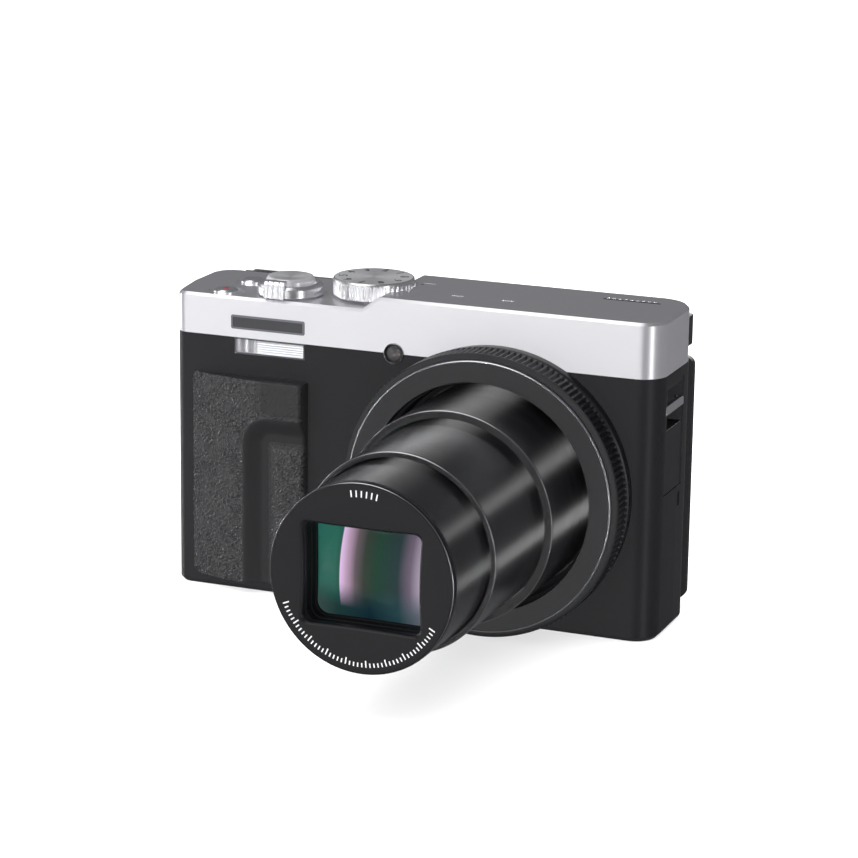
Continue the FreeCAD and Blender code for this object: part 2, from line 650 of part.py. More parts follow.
# ---------------------------------------------------------------- controls on the top
def make_top_controls():
    dial = turned("mode_dial", [
        ("0", "deck_low - 3"), ("2", "deck_low - 3"), ("2", "deck_low + 0.6"),
        ("dial_rad", "deck_low + 0.6"), ("dial_rad", "dial_top - 0.35"),
        ("dial_rad - 0.35", "dial_top"), ("0", "dial_top")],
        ("dial_x", deep("dial_y"), "0"))
    flute = pocket(dial, "XY_Plane", "dial_top", "3.6",
                   circles=[(("dial_rad + 0.12", "0"), "0.34")])
    flutes = dial.newObject("PartDesign::PolarPattern", "dial_flutes")
    flutes.Originals = [flute]
    flutes.Axis = (flute.Profile[0], ["N_Axis"])
    flutes.Angle = 360.0
    flutes.Occurrences = 44
    dial.Tip = flutes
    doc.recompute()
    lever = turned("zoom_lever", [
        ("shutter_rad + 0.3", "deck_low + 0.2"), ("lever_rad", "deck_low + 0.2"),
        ("lever_rad", "deck_low + 2.5"), ("lever_rad - 0.4", "deck_low + 2.9"),
        ("shutter_rad + 0.7", "deck_low + 2.9"), ("shutter_rad + 0.3", "deck_low + 2.5")],
        ("lever_x", deep("lever_y"), "0"))
    pad(lever, "XY_Plane", "deck_low + 1.2", "2.9",
        rectangle("-3.7", "1.5", "-lever_rad - 0.6", "-shutter_rad - 0.6"))
    for groove in range(3):
        middle = -2.4 + 1.3 * groove
        pocket(lever, "XY_Plane", "deck_low + 4.2", "6",
               rectangle(str(middle - 0.2), str(middle + 0.2), "-lever_rad - 1",
                         "-lever_rad - 0.25"))
    turned("shutter_button", [
        ("0", "deck_low - 3.6"), ("2.1", "deck_low - 3.6"), ("2.1", "deck_low + 1.2"),
        ("shutter_rad", "deck_low + 1.2"), ("shutter_rad", "shutter_top - 0.5"),
        ("shutter_rad - 0.5", "shutter_top"), ("3.4", "shutter_top - 0.25"),
        ("0", "shutter_top - 0.45")], ("lever_x", deep("lever_y"), "0"))
    for label, x, y, radius, top in (
            ("power_button", "power_x", "power_y", "2.7", "deck_low + 0.9"),
            ("movie_button", "movie_x", "movie_y", "2.8", "deck_low + 0.7")):
        turned(label, [
            ("0", "deck_low - 3"), (radius, "deck_low - 3"), (radius, top + " - 0.3"),
            (radius + " - 0.3", top), ("0", top + " - 0.1")], (x, deep(y), "0"))


# ---------------------------------------------------------------- controls on the back
def make_rear_controls():
    turned("rear_dial", [
        ("5.2", "-0.45"), ("pad_rad", "-0.45"), ("pad_rad", "0.9"), ("pad_rad - 0.4", "1.3"),
        ("5.6", "1.3"), ("5.2", "0.9")], ("pad_x", deep("back"), "pad_z"), BACKWARD)
    turned("menu_button", [
        ("0", "-2.6"), ("2.1", "-2.6"), ("2.1", "-0.4"), ("5.0", "-0.4"), ("5.0", "0.9"),
        ("4.6", "1.2"), ("0", "1.2")], ("pad_x", deep("back"), "pad_z"), BACKWARD)
    for label, (x, z) in KEYS.items():
        turned(label, [
            ("0", "-1.7"), ("key_rad", "-1.7"), ("key_rad", "0.35"), ("key_rad - 0.3", "0.65"),
            ("0", "0.65")], (x, deep("back"), z), BACKWARD)
    tile("thumb_rest", "9.0", "22.0", "2.0", "2.0",
         ("-45", deep("back + 0.01"), "55.2"), BACKWARD, "0.9")


def make_viewfinder():
    body = new_body("viewfinder_housing")
    pad(body, "XY_Plane", "58.7", "6.6",
        rectangle("30.6", "54.0", deep("cover_deep + 0.05"), deep("30.0")))
    soften(body, "Fillet", "1.2", lambda edge: edge.BoundBox.ZLength > 6
           and edge.BoundBox.Center.y > number(deep("29.9")))
    soften(body, "Fillet", "0.5", lambda edge: flat_at("65.3")(edge)
           and edge.BoundBox.YMax > number(deep("27")))
    pocket(body, "XZ_Plane", "-(face + 30)", "2.4",
           rectangle("34.5", "47.5", "59.6", "64.4"), both_ways=True)
    pocket(body, "XY_Plane", "63.6", "3.2", rectangle("49.1", "53.5", deep("26.4"), deep("32")))
    pad(body, "XY_Plane", "60.3", "3.4", circles=[(("51.3", deep("28.6")), "0.55")])
    tile("viewfinder_eyepiece", "12.9", "4.7", "0.7", "0.5", ("41", deep("28.82"), "62"), BACKWARD)
    turned("dioptre_dial", [("0.6", "-1.4"), ("1.9", "-1.4"), ("1.9", "1.4"), ("0.6", "1.4")],
           ("51.3", deep("28.6"), "62"))


# ---------------------------------------------------------------- the monitor
def make_monitor():
    middle_x = "(monitor_left + monitor_right) / 2"
    middle_z = "(monitor_low + monitor_high) / 2"
    frame = new_body("monitor_frame", (middle_x, deep("28"), middle_z), BACKWARD)
    half_x = "(monitor_right - monitor_left) / 2"
    half_y = "(monitor_high - monitor_low) / 2"
    thick = "monitor_back - 28"
    pad(frame, "XY_Plane", "0", thick, rectangle("-" + half_x, half_x, "-" + half_y, half_y))
    soften(frame, "Fillet", "2.0", lambda edge: edge.BoundBox.ZLength > 2)
    soften(frame, "Chamfer", "0.5", flat_at(thick))
    pocket(frame, "XY_Plane", thick, "1.8", rectangle(
        "-%s + 1.6" % half_x, half_x + " - 1.6", "-%s + 1.6" % half_y, half_y + " - 1.6"),
        both_ways=True)
    tile("monitor_glass", "monitor_right - monitor_left - 3.3",
         "monitor_high - monitor_low - 3.3", "0.85", "0.8",
         (middle_x, deep("monitor_back - 0.89"), middle_z), BACKWARD)
    plate = block("bracket_plate", ("-8", deep("back + 0.15"), "22"),
                  ("42", deep("back + 0.85"), "55.4"))
    neck = block("bracket_neck", ("-8", deep("back + 0.15"), "55"),
                 ("18", deep("back + 0.85"), "tilt_z"))
    knuckle = rod("bracket_knuckle", "1.15", "26", ("-8", deep("tilt_y"), "tilt_z"), SIDEWAYS)
    bore = rod("bracket_bore", "tilt_pin + fit", "30", ("-10", deep("tilt_y"), "tilt_z"), SIDEWAYS)
    joined = join("bracket_whole", [plate, neck, knuckle])
    keep("monitor_bracket", cut("monitor_bracket", joined, bore))
    keep("monitor_hinge_pin", rod("monitor_hinge_pin", "tilt_pin", "34",
                                  ("-12", deep("tilt_y"), "tilt_z"), SIDEWAYS))


# ---------------------------------------------------------------- doors and sockets
def make_doors():
    door = new_body("battery_door")
    pad(door, "XY_Plane", "0.35", "1.2", rectangle(
        "door_left + gap", "door_right - 0.35", deep("door_front + gap"), deep("door_back - gap")))
    pocket(door, "XY_Plane", "0.35", "4", both_ways=True,
           points=rectangle("-50.0", "-43.2", deep("10.4"), deep("17.6")))
    pocket(door, "XZ_Plane", "0", "60", both_ways=True,
           circles=[(("door_right - door_axis", "door_axis"), "door_pin + fit")])
    keep("door_hinge_pin", rod("door_hinge_pin", "door_pin", "door_back - door_front",
                               ("door_right - door_axis", deep("door_back"), "door_axis"), FORWARD))
    tile("door_latch", "4.4", "6.8", "1.2", "0.4", ("-47.7", deep("14"), "0.3"))
    hinge_x = "-half_wide + gap + flap_thick / 2"
    hinge_y = deep("flap_front + gap + flap_thick / 2")
    flap = block("flap_plate", ("-half_wide + gap", hinge_y, "flap_low + gap"),
                 ("-half_wide + gap + flap_thick", deep("flap_back - gap"), "flap_high - gap"))
    bead = rod("flap_bead", "flap_thick / 2", "flap_high - flap_low - 2 * gap",
               (hinge_x, hinge_y, "flap_low + gap"))
    pin = rod("flap_pin", "0.3", "flap_high - flap_low + 0.9", (hinge_x, hinge_y, "flap_low - 0.45"))
    keep("terminal_door", join("terminal_door", [flap, bead, pin]))
    shells = []
    for low, high in (("31.5", "38.3"), ("20.5", "28.3")):
        case = block("socket_case", ("-half_wide + 1.6", deep("16.4"), low),
                     ("-half_wide + 6.5", deep("19.8"), high))
        mouth = block("socket_mouth", ("-half_wide + 1", deep("16.8"), low + " + 0.4"),
                      ("-half_wide + 6", deep("19.4"), high + " - 0.4"))
        shells.append(cut("socket_shell", case, mouth))
    keep("terminal_sockets", group("terminal_sockets", shells))


# ---------------------------------------------------------------- what the body holds
def make_insides():
    keep("battery", block("battery", ("-48.8", deep("11.6"), "2.2"),
                          ("-14.2", deep("22"), "44")))
    keep("memory_card", block("memory_card", ("-43.5", deep("7.4"), "2.4"),
                              ("-19.5", deep("9.5"), "34.4")))
    keep("flash_capacitor", rod("flash_capacitor", "3.4", "32", ("-49", deep("6.4"), "6")))
    trough = block("reflector_outer", ("flash_left + 0.3", deep("1.6"), "flash_low - 0.4"),
                   ("flash_right - 0.3", deep("6.4"), "silver_low - 0.1"))
    hollow = rod("reflector_hollow", "1.55", "flash_right - flash_left - 1.6",
                 ("flash_left + 0.8", deep("3.2"), "flash_low + 1.6"), SIDEWAYS)
    mouth = block("reflector_mouth", ("flash_left + 0.8", deep("1"), "flash_low + 0.05"),
                  ("flash_right - 0.8", deep("3.2"), "flash_low + 3.15"))
    keep("flash_reflector", cut("flash_reflector", trough, join("reflector_cut", [hollow, mouth])))
    keep("zoom_motor", join("zoom_motor", [
        rod("motor_can", "3.9", "13", ("-9", deep("18"), "47.5"), FORWARD),
        rod("motor_shaft", "0.7", "2.5", ("-9", deep("5.1"), "47.5"), FORWARD),
        block("motor_gearbox", ("-13", deep("18"), "41"), ("-5", deep("21"), "52"))]))
    tile("image_sensor", "13", "11", "1.3", "0.4", ("lens_x", deep("22.35"), "lens_z"), FORWARD)
    frame = new_body("chassis")
    pad(frame, "XZ_Plane", "-(face + 23.3)", "0.9", rectangle("-12", "49.6", "3", "54.5"))
    for left, right in (("-9", "2"), ("40", "47")):
        pocket(frame, "XZ_Plane", "-(face + 23)", "4", rectangle(left, right, "6", "52"),
               both_ways=True)
    keep("main_board", join("main_board", [
        block("board_sheet", ("-14", deep("24.3"), "3"), ("47.8", deep("25.1"), "54.5")),
        block("image_chip", ("5", deep("23.5"), "36"), ("18", deep("24.3"), "49")),
        block("memory_chip", ("26", deep("23.5"), "8"), ("36", deep("24.3"), "18"))]))
    keep("switch_board", block("switch_board", ("-52", deep("23.1"), "5"),
                               ("-16", deep("23.9"), "50")))
    turned("tripod_socket", [
        ("thread_rad", "0"), ("socket_rad", "0"), ("socket_rad", "thread_deep + 1"),
        ("0", "thread_deep + 1"), ("0", "thread_deep"), ("thread_rad", "thread_deep")],
        ("0", "0", "0"))
    screws = []
    for x, y in SCREWS:
        head = rod("screw_head", "head_rad", "0.6", (x, deep(y), "0.2"))
        shank = rod("screw_shank", "shank_rad", "4.2", (x, deep(y), "0.7"))
        screws.append(join("screw", [head, shank]))
    keep("body_screws", group("body_screws", screws))


make_front_cover()
make_top_cover()
make_rear_cover()
make_grip_panel()
make_front_trim()
make_side_fittings()
make_lens()
make_barrier()
make_top_controls()
make_rear_controls()
make_viewfinder()
make_monitor()
make_doors()
make_insides()
doc.recompute()

# ---------------------------------------------------------------- checks, then the files
for item in doc.Objects:
    if "Invalid" in item.State or "Error" in item.State:
        raise RuntimeError("%s did not compute: %s" % (item.Label, item.State))
for label, thing in NODES.items():
    if thing.Shape.isNull() or not thing.Shape.isValid() or thing.Shape.Volume <= 0:
        raise RuntimeError("%s has no valid solid" % label)
for label, thing in sorted(NODES.items()):
    thing.Shape.exportStep("parts/%s.step" % label)
print("%d nodes written" % len(NODES))
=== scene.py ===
import json
import math

import bmesh
import bpy
from mathutils import Matrix, Vector, noise

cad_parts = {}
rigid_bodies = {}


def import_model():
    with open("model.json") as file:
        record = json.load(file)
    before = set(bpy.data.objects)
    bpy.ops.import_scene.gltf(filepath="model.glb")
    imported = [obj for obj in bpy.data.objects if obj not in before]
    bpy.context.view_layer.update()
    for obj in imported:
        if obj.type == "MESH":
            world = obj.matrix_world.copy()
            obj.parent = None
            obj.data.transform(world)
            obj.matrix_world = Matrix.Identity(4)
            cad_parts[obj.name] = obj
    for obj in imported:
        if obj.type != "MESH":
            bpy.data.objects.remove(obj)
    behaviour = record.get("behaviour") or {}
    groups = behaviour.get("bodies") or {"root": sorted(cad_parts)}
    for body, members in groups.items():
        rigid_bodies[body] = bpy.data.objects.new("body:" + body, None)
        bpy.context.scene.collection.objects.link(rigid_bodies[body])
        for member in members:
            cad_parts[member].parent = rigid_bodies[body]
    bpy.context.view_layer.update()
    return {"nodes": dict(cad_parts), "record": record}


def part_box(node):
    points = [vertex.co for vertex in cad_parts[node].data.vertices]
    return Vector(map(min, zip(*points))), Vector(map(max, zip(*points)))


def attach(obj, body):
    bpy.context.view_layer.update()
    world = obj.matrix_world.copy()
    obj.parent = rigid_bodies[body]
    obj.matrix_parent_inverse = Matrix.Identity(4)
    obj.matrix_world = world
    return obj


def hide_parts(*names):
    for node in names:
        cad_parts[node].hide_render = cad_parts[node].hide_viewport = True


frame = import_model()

nodes = frame["nodes"]

# ---------------------------------------------------------------- places, in millimetres
MM = 0.001
FACE = -13.0  # the body's front
bezel_low, bezel_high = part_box("front_bezel")
LENS = ((bezel_low.x + bezel_high.x) / 2 / MM, (bezel_low.z + bezel_high.z) / 2 / MM)
LENS_AT = (LENS[0], FACE, LENS[1])


def middle(node):
    low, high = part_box(node)
    return (low + high) / 2 / MM


def half_width(node):
    """Half of a node's width, which is the radius of a turned one."""
    low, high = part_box(node)
    return (high.x - low.x) / 2 / MM


def reach_ahead(node):
    """How far a node comes out in front of the body."""
    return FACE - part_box(node)[0].y / MM


def top_of(node):
    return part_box(node)[1].z / MM


# ---------------------------------------------------------------- materials
def new_material(name):
    mat = bpy.data.materials.new(name)
    mat.use_nodes = True
    tree = mat.node_tree
    return mat, tree, tree.nodes["Principled BSDF"]


def add(tree, kind, **values):
    node = tree.nodes.new(kind)
    for key, value in values.items():
        if hasattr(node, key):
            setattr(node, key, value)
        else:
            node.inputs[key.replace("_", " ")].default_value = value
    return node


def span(tree, source, low, high):
    """Map a 0 to 1 value onto a range."""
    node = tree.nodes.new("ShaderNodeMapRange")
    node.inputs["To Min"].default_value = low
    node.inputs["To Max"].default_value = high
    tree.links.new(source, node.inputs["Value"])
    return node.outputs["Result"]


def blend(tree, factor, first, second):
    node = tree.nodes.new("ShaderNodeMix")
    node.data_type = "RGBA"
    if isinstance(factor, float):
        node.inputs["Factor"].default_value = factor
    else:
        tree.links.new(factor, node.inputs["Factor"])
    for socket, value in ((node.inputs[6], first), (node.inputs[7], second)):
        if isinstance(value, tuple):
            socket.default_value = (*value, 1.0)
        else:
            tree.links.new(value, socket)
    return node.outputs[2]


def calculate(tree, operation, *values):
    """A math node, whose values are numbers or the outputs of other nodes."""
    node = tree.nodes.new("ShaderNodeMath")
    node.operation = operation
    for socket, value in zip(node.inputs, values):
        if isinstance(value, float):
            socket.default_value = value
        else:
            tree.links.new(value, socket)
    return node.outputs[0]


def measured_from(tree, x, y, z):
    """Object space as seen from a place, whole and split into its three directions."""
    place = add(tree, "ShaderNodeTexCoord").outputs["Object"]
    shift = add(tree, "ShaderNodeVectorMath", operation="SUBTRACT")
    shift.inputs[1].default_value = (x * MM, y * MM, z * MM)
    tree.links.new(place, shift.inputs[0])
    split = add(tree, "ShaderNodeSeparateXYZ")
    tree.links.new(shift.outputs[0], split.inputs[0])
    return shift.outputs[0], split.outputs


def finish(name, colour, shade, rough, metallic=0.0, grain=900.0, bump=0.0, spread=0.03, **fixed):
    """Cloudy colour and roughness with a fine moulded or cast grain."""
    cloud_scale = 60.0
    grain_relief = 0.0001
    mat, tree, bsdf = new_material(name)
    place = add(tree, "ShaderNodeTexCoord").outputs["Object"]
    cloud = add(tree, "ShaderNodeTexNoise", Scale=cloud_scale, Detail=4.0)
    speck = add(tree, "ShaderNodeTexNoise", Scale=grain, Detail=3.0)
    tree.links.new(place, cloud.inputs["Vector"])
    tree.links.new(place, speck.inputs["Vector"])
    tone = blend(tree, cloud.outputs["Fac"], colour, shade)
    tree.links.new(tone, bsdf.inputs["Base Color"])
    tree.links.new(span(tree, speck.outputs["Fac"], rough - spread, rough + spread),
                   bsdf.inputs["Roughness"])
    bsdf.inputs["Metallic"].default_value = metallic
    if bump:
        relief = add(tree, "ShaderNodeBump", Strength=bump, Distance=grain_relief)
        tree.links.new(speck.outputs["Fac"], relief.inputs["Height"])
        tree.links.new(relief.outputs["Normal"], bsdf.inputs["Normal"])
    for key, value in fixed.items():
        bsdf.inputs[key.replace("_", " ")].default_value = value
    return mat


def spun_metal(name, centre, bright, dark, rough):
    """Turned metal: fine rings round an upright axis, and bright and dark sectors painted into the
    colour as a painted sheen, the highlight that spun faces show.
    """
    painted_sheen_pairs = 2.0
    painted_sheen_start = -0.5
    ring_scale = 5200.0
    ring_relief = 0.00005
    spread = 0.06
    mat, tree, bsdf = new_material(name)
    place, parts = measured_from(tree, centre[0], centre[1], 0.0)
    # Painted sheen: bright and dark sectors by angle round the axis, in the base colour.
    turn = calculate(tree, "ARCTAN2", parts["Y"], parts["X"])
    phase = calculate(tree, "ADD", calculate(tree, "MULTIPLY", turn, painted_sheen_pairs), painted_sheen_start)
    painted_sheen_sectors = add(tree, "ShaderNodeMapRange", From_Min=-1.0)
    tree.links.new(calculate(tree, "COSINE", phase), painted_sheen_sectors.inputs["Value"])
    flat = add(tree, "ShaderNodeVectorMath", operation="MULTIPLY")
    flat.inputs[1].default_value = (1.0, 1.0, 0.0)
    tree.links.new(place, flat.inputs[0])
    reach = add(tree, "ShaderNodeVectorMath", operation="LENGTH")
    tree.links.new(flat.outputs[0], reach.inputs[0])
    rings = add(tree, "ShaderNodeTexNoise", noise_dimensions="1D", Scale=ring_scale, Detail=2.0)
    tree.links.new(reach.outputs["Value"], rings.inputs["W"])
    tone = blend(tree, painted_sheen_sectors.outputs["Result"], dark, bright)
    tree.links.new(tone, bsdf.inputs["Base Color"])
    tree.links.new(span(tree, rings.outputs["Fac"], rough - spread, rough + spread),
                   bsdf.inputs["Roughness"])
    relief = add(tree, "ShaderNodeBump", Strength=0.10, Distance=ring_relief)
    tree.links.new(rings.outputs["Fac"], relief.inputs["Height"])
    tree.links.new(relief.outputs["Normal"], bsdf.inputs["Normal"])
    bsdf.inputs["Metallic"].default_value = 0.35
    return mat


MATERIALS = {
    "silver": finish("silver_paint", (0.80, 0.79, 0.82), (0.75, 0.745, 0.77), 0.32, metallic=0.85,
                     grain=5200.0, bump=0.03, Specular_IOR_Level=0.5),
    "black": finish("black_paint", (0.0100, 0.0096, 0.0118), (0.0125, 0.0120, 0.0145), 0.40,
                    grain=4600.0, bump=0.08, Specular_IOR_Level=0.26),
    "leather": finish("leatherette", (0.022, 0.0215, 0.0235), (0.034, 0.033, 0.0355), 0.30,
                      grain=3200.0, bump=0.10, Specular_IOR_Level=0.6),
    # Three darker leather steps with less grain and more roughness: painted shade for the finger
    # channel.
    "leather_step1_painted_shade": finish("leatherette_step1_painted_shade", (0.019, 0.0186, 0.0205), (0.028, 0.0273, 0.0295),
                           0.38, grain=3600.0, bump=0.08, Specular_IOR_Level=0.5),
    "leather_step2_painted_shade": finish("leatherette_step2_painted_shade", (0.017, 0.0166, 0.0185), (0.023, 0.0225, 0.0245),
                           0.45, grain=4200.0, bump=0.08, Specular_IOR_Level=0.4),
    "leather_step3_painted_shade": finish("leatherette_step3_painted_shade", (0.014, 0.0137, 0.0155), (0.018, 0.0176, 0.0195),
                             0.52, grain=5000.0, bump=0.08, Specular_IOR_Level=0.3),
    "trim": finish("gloss_trim", (0.008, 0.008, 0.010), (0.011, 0.011, 0.013), 0.30,
                   grain=2600.0, bump=0.04, Specular_IOR_Level=0.45),
    "barrel": finish("barrel_black", (0.005, 0.0048, 0.0062), (0.0065, 0.0063, 0.0078), 0.23,
                     grain=3400.0, bump=0.02, Specular_IOR_Level=0.42),
    "bezel": finish("bezel_black", (0.0065, 0.0062, 0.0078), (0.008, 0.0077, 0.0093), 0.36,
                    grain=5000.0, bump=0.06, Specular_IOR_Level=0.24),
    # Painted highlight: brighter metal for the rims of turned pieces.
    "edge": finish("rim_painted_highlight", (0.42, 0.42, 0.44), (0.50, 0.50, 0.52), 0.20, metallic=1.0,
                   grain=2400.0),
    "bright_metal": finish("bright_metal", (0.82, 0.82, 0.84), (0.90, 0.90, 0.92), 0.26,
                           metallic=1.0, grain=2400.0, bump=0.03),
    "badge": finish("badge_metal", (0.16, 0.16, 0.18), (0.20, 0.20, 0.22), 0.30, metallic=0.9,
                    grain=3000.0, bump=0.03),
    "ink": finish("white_ink", (0.72, 0.72, 0.74), (0.80, 0.80, 0.82), 0.55, grain=3000.0,
                  bump=0.05),
    "dark_ink": finish("dark_ink", (0.03, 0.03, 0.035), (0.05, 0.05, 0.055), 0.5, grain=3000.0,
                       bump=0.05),
    "red": finish("red_lacquer", (0.60, 0.03, 0.02), (0.72, 0.05, 0.03), 0.30, grain=1500.0,
                  bump=0.02),
    "inner": finish("inner_black", (0.004, 0.004, 0.005), (0.006, 0.006, 0.007), 0.60,
                    grain=3200.0, bump=0.05, Specular_IOR_Level=0.15),
    "sheet": finish("stamped_sheet", (0.52, 0.53, 0.55), (0.62, 0.63, 0.65), 0.35, metallic=1.0,
                    grain=700.0, bump=0.05),
    "steel": finish("plain_steel", (0.45, 0.46, 0.48), (0.55, 0.56, 0.58), 0.30, metallic=1.0,
                    grain=1400.0, bump=0.05),
    "circuit": finish("solder_mask", (0.01, 0.10, 0.05), (0.015, 0.14, 0.07), 0.35, grain=500.0,
                      bump=0.12),
    "sensor": finish("sensor_face", (0.05, 0.03, 0.09), (0.02, 0.06, 0.10), 0.12, grain=900.0,
                     bump=0.02),
    "wrap": finish("battery_wrap", (0.06, 0.06, 0.07), (0.09, 0.09, 0.10), 0.35, metallic=0.4,
                   grain=900.0, bump=0.06),
    "card": finish("card_plastic", (0.02, 0.03, 0.08), (0.03, 0.04, 0.10), 0.45, grain=2000.0,
                   bump=0.10),
    "keys": finish("key_plastic", (0.014, 0.014, 0.016), (0.02, 0.02, 0.023), 0.30, grain=2600.0,
                   bump=0.05),
    "screen": finish("screen_glass", (0.006, 0.006, 0.008), (0.009, 0.009, 0.012), 0.06,
                     grain=300.0, spread=0.01, Specular_IOR_Level=0.6),
    "lamp": finish("smoked_lamp", (0.030, 0.026, 0.028), (0.05, 0.045, 0.048), 0.12,
                   grain=900.0, Specular_IOR_Level=0.8),
    "flash": finish("flash_clear", (0.50, 0.51, 0.53), (0.84, 0.85, 0.87), 0.14, metallic=0.5,
                    grain=700.0),
    "flash_side": finish("flash_side", (0.04, 0.04, 0.05), (0.80, 0.80, 0.82), 0.12, metallic=0.5,
                         grain=900.0),
    "flash_rim": finish("flash_rim", (0.10, 0.10, 0.11), (0.14, 0.14, 0.15), 0.15,
                        metallic=0.6, grain=1200.0),
}


def lens_coating():
    """Coated glass: green to blue-green, with painted reflections: a violet streak and lilac edges
    painted into the colour, which also glows.
    """
    bow_centre = 0.005
    mat, tree, bsdf = new_material("lens_coating")
    parts = measured_from(tree, LENS[0], 0.0, LENS[1])[1]

    def along(direction, other, centre, half, bow=0.0):
        """Where a place lies along the glass, 0 to 1, measured in lines that may be bowed."""
        moved = calculate(tree, "ADD", parts[other], bow_centre)
        square = calculate(tree, "MULTIPLY", moved, moved)
        curve = calculate(tree, "MULTIPLY_ADD", square, bow, parts[direction])
        ramp = add(tree, "ShaderNodeMapRange", From_Min=centre - half, From_Max=centre + half)
        tree.links.new(curve, ramp.inputs["Value"])
        return ramp.outputs["Result"]

    def ramp_of(source, stops):
        node = add(tree, "ShaderNodeValToRGB")
        ramp = node.color_ramp
        ramp.elements[0].position = stops[0][0]
        ramp.elements[0].color = (*stops[0][1], 1.0)
        ramp.elements[1].position = stops[-1][0]
        ramp.elements[1].color = (*stops[-1][1], 1.0)
        for position, colour in stops[1:-1]:
            ramp.elements.new(position).color = (*colour, 1.0)
        tree.links.new(source, node.inputs["Fac"])
        return node.outputs["Color"]

    across = along("X", "Z", -0.0025, 0.0120, -6.0)
    up_down = along("Z", "X", -0.001, 0.010)
    # The violet streak and the lilac edges in these ramps are painted reflections of strip lights.
    upper = ramp_of(across, [
        (0.0, (0.016, 0.105, 0.080)), (0.24, (0.014, 0.085, 0.062)),
        (0.285, (0.012, 0.062, 0.045)), (0.292, (0.46, 0.33, 0.50)),
        (0.345, (0.30, 0.20, 0.29)), (0.43, (0.07, 0.055, 0.062)),
        (0.51, (0.018, 0.026, 0.020)), (0.62, (0.008, 0.028, 0.018)),
        (0.80, (0.012, 0.024, 0.026)), (0.90, (0.09, 0.07, 0.10)),
        (1.0, (0.28, 0.24, 0.30))])
    lower = ramp_of(across, [
        (0.0, (0.050, 0.085, 0.075)), (0.25, (0.012, 0.036, 0.036)),
        (0.55, (0.005, 0.018, 0.026)), (0.80, (0.016, 0.044, 0.052)), (1.0, (0.11, 0.12, 0.15))])
    depth = ramp_of(up_down, [(0.12, (0.0, 0.0, 0.0)), (0.36, (1.0, 1.0, 1.0))])
    tone = blend(tree, depth, lower, upper)
    tree.links.new(tone, bsdf.inputs["Base Color"])
    # The painted reflection also glows, though the glass is no lamp.
    tree.links.new(tone, bsdf.inputs["Emission Color"])
    bsdf.inputs["Emission Strength"].default_value = 0.55
    bsdf.inputs["Roughness"].default_value = 0.06
    bsdf.inputs["Specular IOR Level"].default_value = 0.12
    bsdf.inputs["Coat Weight"].default_value = 0.06
    bsdf.inputs["Coat Roughness"].default_value = 0.03
    return mat


MATERIALS["lens_glass_painted_reflection"] = lens_coating()
MATERIALS["dial_top"] = spun_metal("dial_top", middle("mode_dial"), (0.96, 0.96, 0.97),
                                   (0.64, 0.64, 0.66), 0.30)
MATERIALS["shutter_top"] = spun_metal("shutter_top", middle("shutter_button"),
                                      (0.92, 0.92, 0.94), (0.60, 0.60, 0.62), 0.24)

CAD_FINISH = {
    "front_cover": "black", "rear_cover": "black", "top_cover": "silver", "grip_panel": "leather",
    "lens_trim_ring": "trim", "lens_housing": "inner", "flash_window": "flash",
    "flash_reflector": "bright_metal", "flash_capacitor": "inner", "af_lamp_window": "lamp",
    "side_panel": "black", "strap_bar": "bright_metal", "viewfinder_housing": "black",
    "viewfinder_eyepiece": "screen", "thumb_rest": "leather", "switch_board": "circuit",
    "chassis": "sheet", "main_board": "circuit", "image_sensor": "sensor", "battery": "wrap",
    "memory_card": "card", "tripod_socket": "steel", "terminal_sockets": "steel",
    "body_screws": "steel", "zoom_motor": "steel", "monitor_hinge_pin": "steel",
    "door_hinge_pin": "steel", "control_ring": "trim", "cam_ring": "inner",
    "barrel_large": "barrel", "barrel_middle": "barrel", "zoom_lens_group": "sensor",
    "shutter_unit": "inner", "barrel_small": "barrel", "front_bezel": "bezel",
    "front_lens": "sensor", "barrier_inner_upper": "bezel", "barrier_outer_upper": "bezel",
    "barrier_inner_lower": "bezel", "barrier_outer_lower": "bezel", "zoom_lever": "bright_metal",
    "shutter_button": "bright_metal", "mode_dial": "bright_metal",
    "power_button": "bright_metal", "movie_button": "bright_metal", "rear_dial": "keys",
    "menu_button": "keys", "dioptre_dial": "keys", "monitor_frame": "black",
    "monitor_glass": "screen", "monitor_bracket": "sheet", "battery_door": "black",
    "door_latch": "keys", "terminal_door": "black",
}
for label, item in nodes.items():
    item.data.materials.clear()
    item.data.materials.append(MATERIALS[CAD_FINISH.get(label, "keys")])


# ---------------------------------------------------------------- camera, floor and light
scene = bpy.context.scene
AIM = Vector((-5.914, 15.0, 33.466)) * MM
AZIMUTH = 21.705
ELEVATION = 14.754
ROLL = math.radians(-0.771)
DISTANCE = 0.690863
FOCAL_LENGTH = 130.38
SENSOR_WIDTH = 36.0
FLOOR_HALF = 5.0
STUDIO_MIDDLE = Vector((0.0, 0.0, 0.035))


def toward(azimuth, elevation):
    """The way from the object to a viewer at an azimuth and an elevation in degrees."""
    az = math.radians(azimuth)
    el = math.radians(elevation)
    return Vector((math.sin(az) * math.cos(el), -math.cos(az) * math.cos(el), math.sin(el)))


back = toward(AZIMUTH, ELEVATION)
level = Vector((math.cos(math.radians(AZIMUTH)), math.sin(math.radians(AZIMUTH)), 0.0))
upward = back.cross(level)
right = math.cos(ROLL) * level - math.sin(ROLL) * upward
above = math.sin(ROLL) * level + math.cos(ROLL) * upward
camera = bpy.data.objects.new("camera", bpy.data.cameras.new("camera"))
camera.data.lens = FOCAL_LENGTH
camera.data.sensor_width = SENSOR_WIDTH
aimed = Matrix((right, above, back)).transposed().to_4x4()
camera.matrix_world = Matrix.Translation(AIM + DISTANCE * back) @ aimed
scene.collection.objects.link(camera)
scene.camera = camera
scene.view_settings.view_transform = "Standard"

